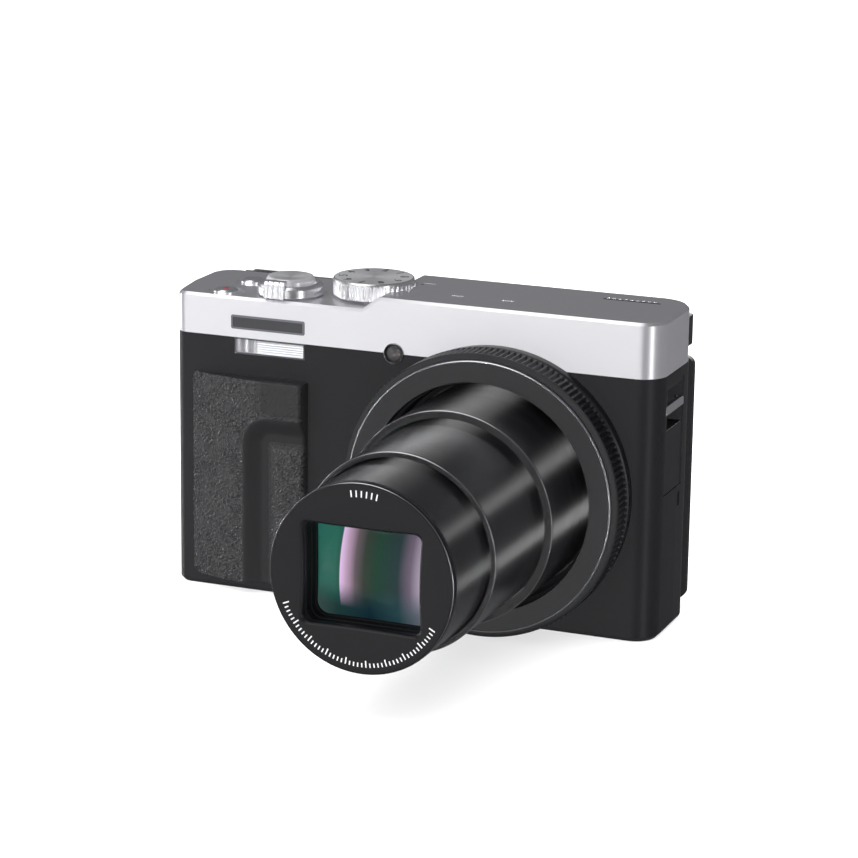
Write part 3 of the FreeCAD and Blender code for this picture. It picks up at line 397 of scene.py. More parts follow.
floor_mesh = bpy.data.meshes.new("floor")
floor_mesh.from_pydata([(-FLOOR_HALF, -FLOOR_HALF, 0), (FLOOR_HALF, -FLOOR_HALF, 0),
                        (FLOOR_HALF, FLOOR_HALF, 0), (-FLOOR_HALF, FLOOR_HALF, 0)],
                       [], [(0, 1, 2, 3)])
floor = bpy.data.objects.new("floor", floor_mesh)
floor.data.materials.append(finish("floor_paper", (0.90, 0.90, 0.905), (0.92, 0.92, 0.925), 0.8,
                                   grain=40.0, Specular_IOR_Level=0.0))
floor.visible_glossy = False
scene.collection.objects.link(floor)

world = bpy.data.worlds.new("studio")
world.use_nodes = True
world.node_tree.nodes["Background"].inputs[0].default_value = (0.95, 0.96, 1.0, 1.0)
world.node_tree.nodes["Background"].inputs[1].default_value = 0.18
scene.world = world


def panel_light(name, wide, high, power):
    light = bpy.data.lights.new(name, "AREA")
    light.shape = "RECTANGLE"
    light.size = wide
    light.size_y = high
    light.energy = power
    panel = bpy.data.objects.new(name, light)
    scene.collection.objects.link(panel)
    return panel


def softbox(name, azimuth, elevation, distance, wide, high, power):
    """A panel light that faces the object from an azimuth and an elevation."""
    panel = panel_light(name, wide, high, power)
    way = toward(azimuth, elevation)
    panel.location = STUDIO_MIDDLE + way * distance
    panel.rotation_euler = way.to_track_quat("Z", "Y").to_euler()
    return panel


LENS_PIECES = bpy.data.collections.new("lens_pieces")
REAR_PIECES = bpy.data.collections.new("rear_pieces")
FLOOR_ONLY = bpy.data.collections.new("floor_only")
FLOOR_ONLY.objects.link(floor)

softbox("key_front", -22.0, 42.0, 1.3, 1.1, 0.8, 4.6)
softbox("top_soft", -45.0, 66.0, 1.2, 1.0, 0.8, 4.0)
for name, azimuth, elevation, wide, high, power, receivers in (
        ("front_low", -22.0, -8.0, 1.5, 0.9, 3.9, None),
        ("left_strip", -98.0, 0.0, 0.16, 1.0, 3.0, None),
        ("corner_strip", 58.0, -8.0, 0.10, 0.9, 1.5, None),
        ("barrel_glow_left", -164.0, 20.0, 0.34, 0.12, 0.20, LENS_PIECES),
        ("barrel_glow_right", 157.0, 10.0, 0.26, 0.09, 0.16, LENS_PIECES),
        ("barrel_glow_low", 161.0, -17.0, 0.26, 0.10, 0.13, LENS_PIECES)):
    glow = softbox(name, azimuth, elevation, 1.0, wide, high, power)
    glow.data.use_shadow = False
    glow.data.cycles.use_multiple_importance_sampling = False
    glow.light_linking.receiver_collection = receivers
wash = panel_light("floor_wash", 6.0, 6.0, 290.0)
wash.location = (-0.2, 1.0, 2.4)
wash.data.use_shadow = False
wash.light_linking.receiver_collection = FLOOR_ONLY


# ---------------------------------------------------------------- mesh helpers
record = frame["record"]
OWNER = {label: body for body, labels in record["behaviour"]["bodies"].items()
         for label in labels}
BEVEL_ANGLE = 34.0
CREASE = 32.0
WELD = 2e-7  # metres, for built pieces
CAD_WELD = 1e-6  # metres, for copies of CAD nodes
FLAT_ANGLE = 0.5
SIDE_SHARE = 0.49  # the most of a side that one rounded corner takes


def facing(way, at):
    """Map (across, along, height) to millimetres for a surface that faces one way."""
    x, y, z = at
    return {
        "front": lambda u, v, h: (x + u, y - h, z + v),
        "back": lambda u, v, h: (x - u, y + h, z + v),
        "strap": lambda u, v, h: (x + h, y + u, z + v),
        "up": lambda u, v, h: (x + u, y + v, z + h),
        "down": lambda u, v, h: (x + u, y - v, z - h),
    }[way]


def settle(obj, node, replace, bevel, steps, crease):
    """Shade a new piece, soften its edges and tie it to the frame."""
    if bevel:
        edge = obj.modifiers.new("edges", "BEVEL")
        edge.width = bevel * MM
        edge.segments = steps
        edge.limit_method = "ANGLE"
        edge.angle_limit = math.radians(BEVEL_ANGLE)
        edge.harden_normals = True
    obj.data.shade_smooth()
    obj.data.set_sharp_from_angle(angle=math.radians(crease))
    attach(obj, OWNER[node])
    if replace:
        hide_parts(node)
    return obj


def piece(name, verts, faces, look, node, replace=False, bevel=0.0, steps=2, crease=CREASE):
    mesh = bpy.data.meshes.new(name)
    mesh.from_pydata([tuple(MM * value for value in spot) for spot in verts], [], faces)
    work = bmesh.new()
    work.from_mesh(mesh)
    bmesh.ops.remove_doubles(work, verts=work.verts, dist=WELD)
    bmesh.ops.recalc_face_normals(work, faces=work.faces)
    work.to_mesh(mesh)
    work.free()
    mesh.materials.append(MATERIALS[look])
    obj = bpy.data.objects.new(name, mesh)
    scene.collection.objects.link(obj)
    return settle(obj, node, replace, bevel, steps, crease)


def eased(points, radius, steps=4, closed=True):
    """Round a polygon's corners; a third number on a point is that corner's own radius."""
    result = []
    count = len(points)
    for i, point in enumerate(points):
        size = point[2] if len(point) > 2 else radius
        here = Vector(point[:2])
        if not size or (not closed and i in (0, count - 1)):
            result.append(tuple(here))
            continue
        before = Vector(points[i - 1][:2]) - here
        after = Vector(points[(i + 1) % count][:2]) - here
        bend = before.angle(after)
        reach = min(size / math.tan(bend / 2), before.length * SIDE_SHARE,
                    after.length * SIDE_SHARE)
        real = reach * math.tan(bend / 2)
        centre = here + (before.normalized() + after.normalized()).normalized() \
            * (real / math.sin(bend / 2))
        start = here + before.normalized() * reach - centre
        sweep = start.angle_signed(here + after.normalized() * reach - centre)
        for k in range(steps + 1):
            angle = -sweep * k / steps
            result.append((centre.x + start.x * math.cos(angle) - start.y * math.sin(angle),
                           centre.y + start.x * math.sin(angle) + start.y * math.cos(angle)))
    return result


def lathe(name, profile, at, way, look, node, segments=256, warp=None, closed=True, **extra):
    """Turn a profile of (radius, height) round the axis; a warp may move each radius."""
    put = facing(way, at)
    count = len(profile)
    verts = []
    for i in range(segments):
        turn = 2 * math.pi * i / segments
        for radius, height in profile:
            reach = warp(radius, height, turn) if warp else radius
            verts.append(put(reach * math.cos(turn), reach * math.sin(turn), height))
    faces = []
    for i in range(segments):
        following = (i + 1) % segments
        for j in range(count if closed else count - 1):
            k = (j + 1) % count
            faces.append((i * count + j, i * count + k, following * count + k,
                          following * count + j))
    return piece(name, verts, faces, look, node, **extra)


def prism(name, outline, low, high, at, way, look, node, **extra):
    """Raise an outline of (across, along) between two heights."""
    put = facing(way, at)
    count = len(outline)
    verts = [put(u, v, low) for u, v in outline] + [put(u, v, high) for u, v in outline]
    faces = [tuple(range(count)), tuple(range(count, 2 * count))]
    faces += [(i, (i + 1) % count, count + (i + 1) % count, count + i) for i in range(count)]
    return piece(name, verts, faces, look, node, **extra)


def rounded(wide, high, radius, steps=6):
    return eased([(-wide / 2, -high / 2), (wide / 2, -high / 2), (wide / 2, high / 2),
                  (-wide / 2, high / 2)], radius, steps)


def edged(node, look, bevel, steps=2, cutters=()):
    """A finished copy of a CAD node: clean faces, cuts, and small rounded edges."""
    mesh = nodes[node].data.copy()
    work = bmesh.new()
    work.from_mesh(mesh)
    bmesh.ops.remove_doubles(work, verts=work.verts, dist=CAD_WELD)
    bmesh.ops.dissolve_limit(work, angle_limit=math.radians(FLAT_ANGLE), verts=work.verts,
                             edges=work.edges)
    work.to_mesh(mesh)
    work.free()
    if mesh.has_custom_normals:
        for layer in [item for item in mesh.attributes if item.name == "custom_normal"]:
            mesh.attributes.remove(layer)
    obj = bpy.data.objects.new(node + "_finished", mesh)
    scene.collection.objects.link(obj)
    for tool in cutters:
        carve = obj.modifiers.new("cut", "BOOLEAN")
        carve.operation = "DIFFERENCE"
        carve.solver = "EXACT"
        carve.object = tool
    if cutters:
        mesh = bpy.data.meshes.new_from_object(
            obj.evaluated_get(bpy.context.evaluated_depsgraph_get()))
        obj.modifiers.clear()
        obj.data = mesh
    mesh.materials.clear()
    mesh.materials.append(MATERIALS[look])
    return settle(obj, node, True, bevel, steps, CREASE)


def walled(verts, columns, rows, back):
    """Close a grid of places into a solid: walls round its border and a flat back."""
    width = columns + 1
    faces = [(a, a + 1, a + width + 1, a + width)
             for j in range(rows) for a in range(j * width, j * width + columns)]
    border = list(range(width)) + [j * width + columns for j in range(1, rows + 1)]
    border += [rows * width + i for i in range(columns - 1, -1, -1)]
    border += [j * width for j in range(rows - 1, 0, -1)]
    skin = len(verts)
    verts += [(verts[k][0], back, verts[k][2]) for k in border]
    for k, index in enumerate(border):
        after = (k + 1) % len(border)
        faces.append((index, border[after], skin + after, skin + k))
    faces.append(tuple(range(skin, skin + len(border))))
    return faces


def cutter(profile, at, way, segments=96):
    """A turned solid that is only used to cut with."""
    obj = lathe("cutter", profile, at, way, "inner", "top_cover", segments=segments)
    bpy.context.view_layer.update()
    return obj


def discard(objects):
    for obj in objects:
        bpy.data.objects.remove(obj, do_unlink=True)


def lettered(name, text, size, at, way, turn, look, node, rise=0.05):
    """A number cut as a thin raised mark."""
    curve = bpy.data.curves.new(name, "FONT")
    curve.body = text
    curve.size = size
    curve.extrude = rise / 2
    curve.align_x = "CENTER"
    curve.align_y = "CENTER"
    source = bpy.data.objects.new(name + "_curve", curve)
    scene.collection.objects.link(source)
    bpy.context.view_layer.update()
    shape = bpy.data.meshes.new_from_object(
        source.evaluated_get(bpy.context.evaluated_depsgraph_get()))
    put = facing(way, at)
    verts = []
    for vert in shape.vertices:
        u = vert.co.x * math.cos(turn) - vert.co.y * math.sin(turn)
        v = vert.co.x * math.sin(turn) + vert.co.y * math.cos(turn)
        verts.append(put(u, v, vert.co.z + rise / 2))
    faces = [tuple(face.vertices) for face in shape.polygons]
    bpy.data.objects.remove(source, do_unlink=True)
    return piece(name, verts, faces, look, node)


# ---------------------------------------------------------------- the covers
DIAL_RISE = 4.7
deck_low = top_of("mode_dial") - DIAL_RISE
deck_high = top_of("top_cover")
lever_at = middle("shutter_button")
dial_at = middle("mode_dial")
movie_at = middle("movie_button")
power_at = middle("power_button")
REAR_KEYS = ("menu_button", "exposure_lock_button", "viewfinder_button", "quick_menu_button",
             "playback_button", "display_button", "delete_button")


def make_covers():
    tools = []
    for spot, reach, hole in ((movie_at, 4.2, 2.95), (power_at, 3.9, 2.85)):
        tools.append(cutter([(0.0, 0.2), (reach + 0.35, 0.2), (hole, -0.85), (0.0, -0.85)],
                            (spot.x, spot.y, deck_low), "up"))
    edged("top_cover", "silver", 0.10, cutters=tools)
    discard(tools)
    edged("front_cover", "black", 0.16)
    edged("rear_cover", "black", 0.16)
    edged("side_panel", "black", 0.14)
    edged("battery_door", "black", 0.12)
    edged("terminal_door", "black", 0.12)
    edged("viewfinder_housing", "black", 0.14)
    edged("monitor_frame", "black", 0.14)
    edged("thumb_rest", "leather", 0.10)
    for label in REAR_KEYS:
        edged(label, "keys", 0.16, steps=3)
        low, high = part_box(label)
        spot = ((low.x + high.x) / 2 / MM, high.y / MM, (low.z + high.z) / 2 / MM)
        prism(label + "_mark", rounded(1.3, 0.3, 0.12), -0.05, 0.012, spot, "back", "ink", label)
    for label, side in (("barrier_inner_upper", 0), ("barrier_inner_lower", 1)):
        leaf = edged(label, "bezel", 0.02, steps=1)
        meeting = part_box(label)[side].z
        for vertex in leaf.data.vertices:
            if abs(vertex.co.z - meeting) < 0.02 * MM:
                vertex.co.z += (0.04 - 0.08 * side) * MM
    bar = middle("strap_bar")
    low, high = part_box("strap_bar")
    length = (high.y - low.y) / MM
    prism("strap_bar_polished", rounded(length, 2.0, 0.45), -0.72, 0.70, bar, "strap",
          "bright_metal", "strap_bar", replace=True, bevel=0.38, steps=4)
    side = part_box("front_cover")[1].x / MM
    # A thin black patch where a small hole is: painted shade for the hole.
    prism("side_hole_painted_shade", rounded(1.3, 3.2, 0.6), -0.02, 0.03, (side, FACE + 15.9, 28.0), "strap",
          "inner", "rear_cover", bevel=0.02)


# ---------------------------------------------------------------- the lens
def knurled(count, depth, band, sharp=1.0):
    """A warp that cuts grooves along the axis into one band of heights."""
    def warp(radius, height, turn):
        if not band[0] <= height <= band[1] or radius < band[2]:
            return radius
        wave = 0.5 + 0.5 * math.cos(count * turn)
        return radius - depth * wave ** sharp
    return warp


def polish(turned, radius, height):
    """Paint a highlight on the outer front edge of a turned lens piece: brighter metal all round
    stands in for the light on that rim.
    """
    turned.data.materials.append(MATERIALS["edge"])
    for face in turned.data.polygons:
        spot = face.center / MM
        reach = math.hypot(spot.x - LENS[0], spot.z - LENS[1])
        if reach > radius and FACE - spot.y > height:
            face.material_index = 1


def make_lens():
    ring_out = half_width("lens_trim_ring") - 0.45
    lathe("base_ring", eased([(26.2, 0.03), (ring_out, 0.03), (ring_out, 2.1, 0.12),
                              (ring_out - 0.45, 2.45, 0.1), (ring_out - 0.8, 3.8, 0.2),
                              (26.2, 3.8)], 0.05, 3),
          LENS_AT, "front", "trim", "lens_trim_ring", segments=384, replace=True)
    out = half_width("control_ring") + 0.1
    front = reach_ahead("control_ring")
    profile = [(25.7, 4.0), (out - 0.45, 4.0), (out, 4.4), (out, 4.7), (out, 5.5), (out, 7.0),
               (out, 8.5), (out, 9.4), (out - 0.1, 9.75), (out - 0.5, 9.95)]
    profile += eased([(29.15, 9.95), (28.95, 10.15, 0.1), (29.05, 10.4, 0.1), (29.3, 10.45, 0.12),
                      (29.3, front, 0.34), (28.6, front, 0), (25.2, front, 0),
                      (24.6, front, 0.12), (24.45, front - 0.5, 0.1), (24.45, 8.9),
                      (25.7, 8.4)], 0.05, 4)
    ring = lathe("control_ring_knurled", profile, LENS_AT, "front", "trim", "control_ring",
                 segments=1500, warp=knurled(150, 0.5, (4.65, 9.5, 29.9)), replace=True,
                 crease=50.0)
    polish(ring, 29.02, front - 0.30)
    for name, node, inner, foot, neck, low in (
            ("barrel_1", "barrel_large", 20.92, 0.85, 0.83, -3.5),
            ("barrel_2", "barrel_middle", 19.42, 0.3, 0.28, 23.4)):
        wide = half_width(node)
        tip = reach_ahead(node)
        shape = [(inner + foot, low), (wide, low),
                 (wide, low + 0.4, 0), (wide, tip - 0.56, 0), (wide, tip, 0.26),
                 (wide - 0.75, tip, 0.08), (wide - 0.8, tip - 0.16, 0.05),
                 (inner, tip - 0.16, 0.10), (inner, tip - 1.0),
                 (inner + neck, tip - 1.0)]
        if low > 0:
            shape = shape[1:] + [(wide - 0.9, low + 0.7), (8.5, low + 0.7), (8.5, low)]
        tube = lathe(name, eased(shape, 0.02, 4), LENS_AT, "front", "barrel", node,
                     segments=384, replace=True)
        polish(tube, wide - 0.2, tip - 0.2)
    tip = reach_ahead("barrel_small")
    lathe("barrel_3", eased([(18.3, 42.4), (19.1, 42.4), (19.1, 42.8, 0), (19.1, tip - 0.4, 0),
                             (19.1, tip), (18.3, tip),
                             (18.3, 66.2), (16.9, 66.2), (16.9, 62.6), (18.3, 62.6)], 0.02, 2),
          LENS_AT, "front", "barrel", "barrel_small", segments=384, replace=True)


def window_reach(turn, half_x, half_z, corner, bow):
    """Distance from the axis to a rounded window whose sides bow inward."""
    c = abs(math.cos(turn))
    s = abs(math.sin(turn))
    if c * half_z > s * half_x:
        reach = half_x / c
    else:
        reach = half_z / max(s, 1e-9)
    x = reach * c
    z = reach * s
    if x > half_x - corner and z > half_z - corner:
        mid = Vector((half_x - corner, half_z - corner))
        ray = Vector((c, s))
        along = mid.dot(ray)
        reach = along + math.sqrt(max(along * along - mid.length_squared + corner * corner, 0.0))
        x = reach * c
        z = reach * s
    side = bow * max(0.0, 1.0 - (z / (half_z - corner * 0.3)) ** 2) * (x / half_x) ** 6
    ends = 0.45 * bow * max(0.0, 1.0 - (x / (half_x - corner * 0.3)) ** 2) * (z / half_z) ** 6
    return reach * (1.0 - side / half_x - ends / half_z)


WINDOW = -10.0  # the profile radius that stands for the window's edge


def along_window(half_x, half_z, corner, bow):
    """A warp that lays the profile radii near WINDOW along the edge of a window."""
    def warp(radius, height, turn):
        if radius >= 0:
            return radius
        outward = WINDOW - radius
        return window_reach(turn, half_x + outward, half_z + outward, corner, bow)
    return warp


def make_bezel():
    front = reach_ahead("front_bezel") - 0.03
    rim = half_width("front_bezel")
    profile = [(WINDOW, front - 1.46), (rim - 0.02, front - 1.46), (rim, front - 1.40),
               (rim, front - 0.42), (rim - 0.06, front - 0.24), (rim - 0.16, front - 0.11),
               (rim - 0.34, front - 0.02), (rim - 0.6, front),
               (WINDOW - 0.62, front), (WINDOW - 0.50, front - 0.03),
               (WINDOW - 0.38, front - 0.10), (WINDOW - 0.06, front - 0.50),
               (WINDOW, front - 0.62)]
    ring = lathe("bezel", profile, LENS_AT, "front", "bezel", "front_bezel", segments=720,
                 warp=along_window(12.3, 10.05, 1.7, 0.42), replace=True, crease=40.0)
    polish(ring, rim - 0.2, front - 0.3)
    lathe("window_tunnel", [(18.1, 70.35), (WINDOW, 70.35), (WINDOW + 0.1, 68.6),
                            (WINDOW + 0.25, 68.5), (WINDOW + 0.3, 67.0), (WINDOW + 0.5, 66.8),
                            (WINDOW + 0.55, 66.3), (18.1, 66.3)],
          LENS_AT, "front", "inner", "barrel_small", segments=480,
          warp=along_window(12.35, 10.5, 2.6, 0.15), crease=25.0)
    peak = 66.2
    glass_back = 61.5
    glass_radius = 16.6
    sphere = 46.0
    rings = 24
    cap = [(0.0, peak)]
    for i in range(1, rings + 1):
        radius = glass_radius * i / rings
        cap.append((radius, peak - sphere + math.sqrt(sphere ** 2 - radius ** 2)))
    cap += [(glass_radius, glass_back), (0.0, glass_back)]
    # The front glass carries painted reflections in its colour.
    lathe("front_element", cap, LENS_AT, "front", "lens_glass_painted_reflection", "front_lens", segments=192,
          replace=True, closed=False, crease=40.0)
    mark_start = rim - 1.55
    marks = [(math.radians(203.0 + i * 2.85), 0.85 if i % 5 else 1.35) for i in range(46)]
    marks += [(math.radians(79.0 + i * 3.6), 1.3) for i in range(6)]
    verts = []
    faces = []
    for angle, length in marks:
        across = Vector((-math.sin(angle), math.cos(angle))) * 0.13
        inward = Vector((math.cos(angle), math.sin(angle)))
        start = inward * mark_start
        end = inward * (mark_start - length)
        corner = [start + across, start - across, end - across, end + across]
        base = len(verts)
        for height in (front - 0.01, front + 0.025):
            verts += [facing("front", LENS_AT)(c.x, c.y, height) for c in corner]
        faces += [(base + 3, base + 2, base + 1, base), (base + 4, base + 5, base + 6, base + 7)]
        faces += [(base + k, base + (k + 1) % 4, base + 4 + (k + 1) % 4, base + 4 + k)
                  for k in range(4)]
    piece("bezel_marks", verts, faces, "ink", "front_bezel")


# ---------------------------------------------------------------- the grip
CHANNEL_LEFT = -37.3
CHANNEL_TOP = 41.0
CHANNEL_TURN = 6.8


def grip_height(x, z, low, high):
    """How far the pad stands out at a place, and how far inside the finger channel that is."""
    across = (x - low.x) / (high.x - low.x)
    rise = 0.35 + 3.6 * math.sin(min(across / 0.70, 1.0) * math.pi / 2) ** 0.92
    rise -= 0.7 * max(0.0, 1.0 - (high.x - x) / 0.75) ** 2
    for gap in (z - low.z, high.z - z):
        turn_over = max(0.0, 1.0 - gap / 0.4)
        rise -= 0.35 * turn_over ** 2 * min(1.0, rise / 1.2)
    corner_x = x - CHANNEL_LEFT - CHANNEL_TURN
    corner_z = z - CHANNEL_TOP + CHANNEL_TURN
    if corner_x < 0 and corner_z > 0:
        inside = CHANNEL_TURN - math.hypot(corner_x, corner_z)
    else:
        inside = min(x - CHANNEL_LEFT, CHANNEL_TOP - z)
    if inside > 0:
        wall = min(inside / 4.4, 1.0)
        wall = wall * wall * (3 - 2 * wall) ** 0.8
        rise -= 2.3 * wall - 1.2 * step_up(inside, 4.6, 10.1)
    return max(rise, 0.12), inside


def step_up(value, start, end):
    """Zero before the start, one after the end, smooth between them."""
    part = min(max((value - start) / (end - start), 0.0), 1.0)
    return part * part * (3 - 2 * part)


def soft_corner(x, z, low, high):
    """Draw the grid of the pad in to two rounded left corners."""
    for radius, centre_z, side in ((2.0, low.z + 2.0, -1.0), (1.2, high.z - 1.2, 1.0)):
        across = x - low.x - radius
        along = z - centre_z
        if across < 0 and along * side > 0:
            pull = max(-across, abs(along)) / math.hypot(across, along)
            return low.x + radius + across * pull, centre_z + along * pull
    return x, z


def evenness(x, z, inside):
    """How far the grain has faded at a place, from 0 for full grain to 1 for none."""
    thumb_side = step_up(x, -36.5, -30.0) * step_up(z, 39.5, 42.5)
    channel = step_up(inside, -0.1, 0.8) * (1.0 - step_up(inside, 4.6, 8.6))
    return max(channel, 0.7 * thumb_side)


def make_grip():
    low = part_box("grip_panel")[0] / MM
    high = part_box("grip_panel")[1] / MM
    step = 0.13
    least = 0.06  # keeps the skin clear of the pad's flat back
    columns = int((high.x - low.x) / step)
    rows = int((high.z - low.z) / step)
    verts = []
    for j in range(rows + 1):
        z = low.z + (high.z - low.z) * j / rows
        for i in range(columns + 1):
            x = low.x + (high.x - low.x) * i / columns
            rise, inside = grip_height(x, z, low, high)
            spot = Vector((x + 0.3 * z, z - 0.2 * x, rise * 0.6)) * 1.35
            spread = noise.voronoi(spot + noise.noise_vector(spot * 0.9) * 0.7)[0]
            pebble = step_up(spread[1] - spread[0], 0.0, 0.5) + 0.35 * noise.noise(spot * 2.1)
            even = evenness(x, z, inside)
            amount = 0.40 * (1.0 - even) * (0.95 + 0.2 * noise.noise(spot * 0.2))
            place_x, place_z = soft_corner(x, z, low, high)
            height = max(rise + amount * (pebble - 0.8), least)
            verts.append((place_x, FACE - height, place_z))
    faces = walled(verts, columns, rows, FACE - 0.03)
    pad = piece("grip_pad", verts, faces, "leather", "grip_panel", replace=True, crease=75.0)
    # Darker leather steps where the grain fades: painted shade in the finger channel, and darker
    # towards the upper right on the thumb side.
    for look in ("leather_step1_painted_shade", "leather_step2_painted_shade", "leather_step3_painted_shade"):
        pad.data.materials.append(MATERIALS[look])
    for face in pad.data.polygons:
        if face.normal.y < -0.2 and len(face.vertices) == 4:
            spot = face.center / MM
            even = evenness(spot.x, spot.z, grip_height(spot.x, spot.z, low, high)[1])
            face.material_index = min(int(even * 4.0), 3)


# ---------------------------------------------------------------- front windows and badge
def make_front_details():
    lamp = middle("af_lamp_window")
    lamp_at = (lamp.x, FACE, lamp.z)
    lathe("lamp_rim", eased([(1.72, -0.6), (2.12, -0.6), (2.12, 0.45, 0.06), (2.02, 0.5, 0.05),
                             (1.72, 0.1, 0.05)], 0.03, 3),
          lamp_at, "front", "trim", "af_lamp_window", segments=96)
    # A thin ring of the painted-highlight metal round the lamp.
    lathe("lamp_edge", eased([(2.13, -0.6), (2.26, -0.6), (2.26, 0.3, 0.04), (2.13, 0.36, 0.04)],
                             0.02, 3),
          lamp_at, "front", "edge", "af_lamp_window", segments=96)
    steps = [(0.0, 0.32)]
    for i in range(1, 17):
        radius = 1.7 * i / 16
        steps.append((radius, 0.32 - 0.34 * (radius / 1.7) ** 2))
    steps += [(1.7, -1.8), (0.0, -1.8)]
    lathe("lamp_lens", steps, lamp_at, "front", "lamp", "af_lamp_window", segments=96,
          closed=False, replace=True, crease=50.0)
    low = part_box("flash_window")[0] / MM
    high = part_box("flash_window")[1] / MM
    middle_x = (low.x + high.x) / 2
    middle_z = (low.z + high.z) / 2
    wide = high.x - low.x
    tall = high.z - low.z
    columns = 332
    rows = 72
    verts = []
    for j in range(rows + 1):
        z = low.z + 0.22 + (tall - 0.26) * j / rows
        for i in range(columns + 1):
            x = low.x + 0.22 + (wide - 0.44) * i / columns
            inset = min(x - low.x, high.x - x, z - low.z)
            if inset < 0.42:
                rise = 0.0
            elif x < low.x + 5.3:
                phase = (x - low.x) + 0.16 * math.sin(3.1 * x)
                rise = -0.24 + 0.2 * math.cos(phase * 2 * math.pi / 0.66)
            else:
                rise = -0.12 + 0.07 * math.cos((z - low.z) * 2 * math.pi / 0.5)
            verts.append((x, FACE + 0.12 - rise, z))
    faces = walled(verts, columns, rows, FACE + 1.3)
    cover = piece("flash_cover", verts, faces, "flash", "flash_window", replace=True,
                  crease=50.0)
    cover.data.materials.append(MATERIALS["flash_side"])
    for face in cover.data.polygons:
        if face.normal.y < -0.02 and face.center.x / MM < low.x + 5.2:
            face.material_index = 1
    loop = rounded(wide - 0.1, tall - 0.05, 0.5, 5)
    slim = rounded(wide - 0.75, tall - 0.7, 0.28, 5)
    put = facing("front", (middle_x, FACE, middle_z))
    count = len(loop)
    rim_verts = [put(u, v, h) for line, h in ((loop, -0.3), (loop, 0.06), (slim, 0.06),
                                              (slim, -0.3)) for u, v in line]
    rim_faces = [(k * count + i, k * count + (i + 1) % count,
                  (k + 1) % 4 * count + (i + 1) % count, (k + 1) % 4 * count + i)
                 for k in range(4) for i in range(count)]
    piece("flash_rim", rim_verts, rim_faces, "flash_rim", "flash_window", bevel=0.07)
    thick = 0.2
    badge_x = middle_x - 0.4
    badge_z = 60.4
    prism("badge", rounded(17.4, 3.1, 0.45), -0.05, thick, (badge_x, FACE, badge_z), "front",
          "badge", "top_cover", bevel=0.08)
    prism("badge_inlay", rounded(16.5, 2.2, 0.25), -0.02, 0.04, (badge_x, FACE - thick, badge_z),
          "front", "dark_ink", "top_cover", bevel=0.015)


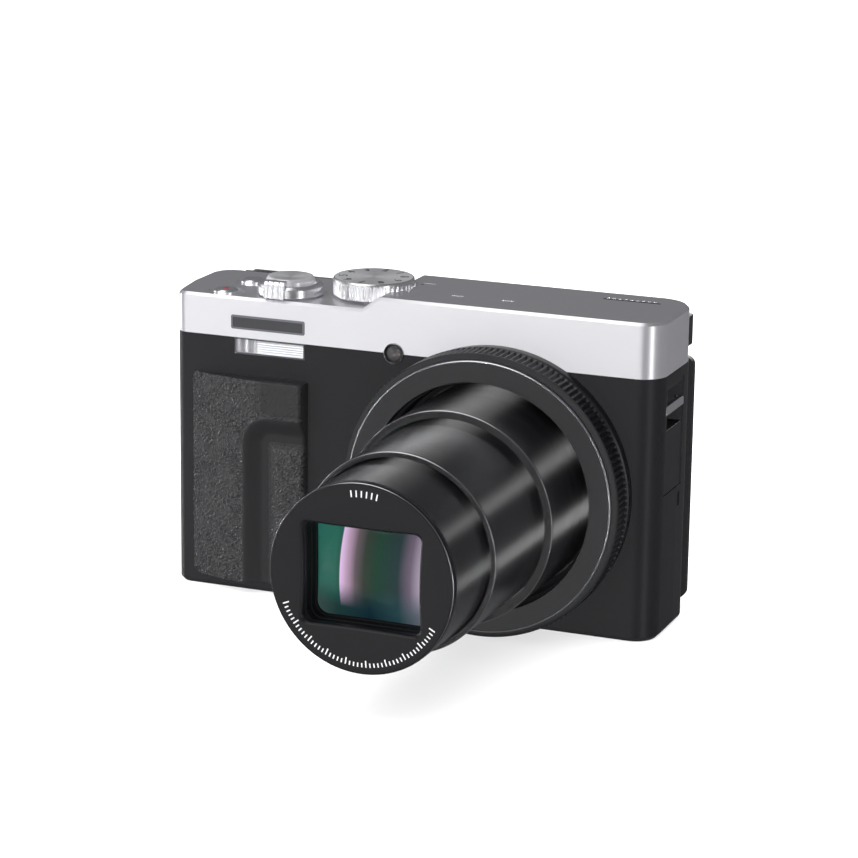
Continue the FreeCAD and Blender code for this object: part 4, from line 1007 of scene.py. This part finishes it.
# ---------------------------------------------------------------- dials and buttons on top
def make_top_controls():
    top = top_of("mode_dial")
    radius = half_width("mode_dial")
    foot = deck_low + 0.62
    profile = [(0.0, foot - 3.4), (2.0, foot - 3.4), (2.0, foot), (radius - 0.35, foot),
               (radius, foot + 0.3), (radius, foot + 0.8), (radius, foot + 1.6),
               (radius, foot + 2.4), (radius, top - 0.95), (radius, top - 0.8),
               (radius, top - 0.42), (radius - 0.10, top - 0.2), (radius - 0.30, top - 0.04),
               (radius - 0.5, top), (radius - 0.9, top - 0.02), (4.0, top - 0.10),
               (0.5, top - 0.12), (0.0, top - 0.12)]
    centre = (dial_at.x, dial_at.y, 0.0)
    dial = lathe("mode_dial_fluted", profile, centre, "up", "dial_top", "mode_dial",
                 segments=616, closed=False, replace=True, crease=38.0,
                 warp=knurled(44, 0.30, (foot + 0.05, top - 0.9, radius - 1.0), 5.0))
    dial.data.materials.append(MATERIALS["bright_metal"])
    for face in dial.data.polygons:
        if abs(face.normal.z) < 0.9:
            face.material_index = 1
    numbers_at = 6.55
    for i in range(10):
        angle = math.radians(18.0 + 36.0 * i)
        spot = (dial_at.x + numbers_at * math.cos(angle),
                dial_at.y + numbers_at * math.sin(angle), top - 0.06)
        lettered("dial_number_%d" % i, str(i), 2.8, spot, "up", angle - math.pi / 2, "dark_ink",
                 "mode_dial", rise=0.055)

    low = deck_low + 0.2
    ring = eased([(5.6, low), (7.0, low), (7.25, low + 0.25), (7.25, low + 1.95, 0.2),
                  (6.75, low + 2.6, 0.25), (6.0, low + 2.7, 0.12), (5.6, low + 2.4, 0.1)],
                 0.04, 4)
    lever = (lever_at.x, lever_at.y, 0.0)
    lathe("lever_ring", ring, lever, "up", "bright_metal", "zoom_lever", segments=192,
          replace=True)
    outline = []
    for rib in range(4):
        left = -2.9 + 1.3 * rib
        outline += [(left, -7.42), (left + 0.10, -7.80), (left + 0.80, -7.80),
                    (left + 0.92, -7.42)]
    outline = [(-2.9, -6.3)] + outline + [(1.92, -7.2), (1.92, -6.3)]
    verts = []
    levels = [(low + 0.1, 0.0), (low + 3.15, 0.0), (low + 3.75, 0.55), (low + 3.9, 1.15)]
    for level_z, shift in levels:
        for u, v in outline:
            verts.append((lever_at.x + u, lever_at.y + min(v + shift, -5.95), level_z))
    count = len(outline)
    faces = [tuple(range(count)), tuple(range(3 * count, 4 * count))]
    for layer in range(3):
        for i in range(count):
            after = (i + 1) % count
            faces.append((layer * count + i, layer * count + after,
                          (layer + 1) * count + after, (layer + 1) * count + i))
    piece("lever_tab", verts, faces, "bright_metal", "zoom_lever", bevel=0.06)

    peak = top_of("shutter_button")
    cap = eased([(0.0, peak - 3.0), (5.3, peak - 3.0), (5.3, peak - 0.75, 0.15),
                 (5.12, peak - 0.5, 0.1), (4.95, peak - 0.12, 0.2), (4.5, peak, 0.15),
                 (3.0, peak - 0.14), (1.2, peak - 0.3), (0.0, peak - 0.34)], 0.06, 4,
                closed=False)
    lathe("shutter_cap", cap, lever, "up", "shutter_top", "shutter_button", segments=192,
          closed=False, replace=True)
    for name, node, spot, wide in (("movie_cap", "movie_button", movie_at, 2.78),
                                   ("power_cap", "power_button", power_at, 2.68)):
        peak = top_of(node)
        dome = eased([(0.0, peak - 3.4), (wide, peak - 3.4), (wide, peak - 0.42, 0.2),
                      (wide - 0.5, peak - 0.04, 0.25), (1.1, peak), (0.0, peak)], 0.1, 4,
                     closed=False)
        lathe(name, dome, (spot.x, spot.y, 0.0), "up", "bright_metal", node, segments=128,
              closed=False, replace=True)
    lathe("movie_dot", eased([(0.0, -0.05), (0.72, -0.05), (0.72, 0.03, 0.02), (0.0, 0.05)],
                             0.01, 2, closed=False),
          (movie_at.x, movie_at.y, top_of("movie_button")), "up", "red", "movie_button",
          segments=64, closed=False)
    for x in (7.9, 19.3):
        prism("mic_slot_%d" % x, rounded(2.5, 0.72, 0.3), -0.7, -0.02, (x, FACE + 8.6, deck_high),
              "up", "ink", "top_cover", bevel=0.05)
    # A flush black strip over the speaker holes: painted shade for the dark slot.
    prism("speaker_slot_painted_shade", rounded(12.8, 0.6, 0.28), -0.2, 0.015,
          (43.2, FACE + 19.6, deck_high), "up", "inner", "top_cover")
    prism("dial_index", rounded(2.6, 0.22, 0.1), -0.02, 0.03,
          (dial_at.x + 10.9, dial_at.y + 5.5, deck_high), "up", "ink", "top_cover")
    lathe("status_lamp", eased([(0.0, -0.05), (0.32, -0.05), (0.32, 0.03, 0.02), (0.0, 0.05)],
                               0.01, 2, closed=False),
          (dial_at.x + 9.6, dial_at.y + 4.2, deck_high), "up", "lamp", "top_cover",
          segments=32, closed=False)


make_covers()
make_lens()
for label in ("barrel_1", "barrel_2", "barrel_3"):
    LENS_PIECES.objects.link(bpy.data.objects[label])
make_bezel()
make_grip()
make_front_details()
make_top_controls()
rear_soft = softbox("rear_soft", -165.0, 20.0, 1.2, 1.3, 0.9, 16.0)
rear_soft.light_linking.receiver_collection = REAR_PIECES
for obj in scene.objects:
    if obj.name == "monitor_glass" or obj.name.endswith("_finished"):
        if not obj.name.startswith(("top_cover", "front_cover", "barrier")):
            REAR_PIECES.objects.link(obj)
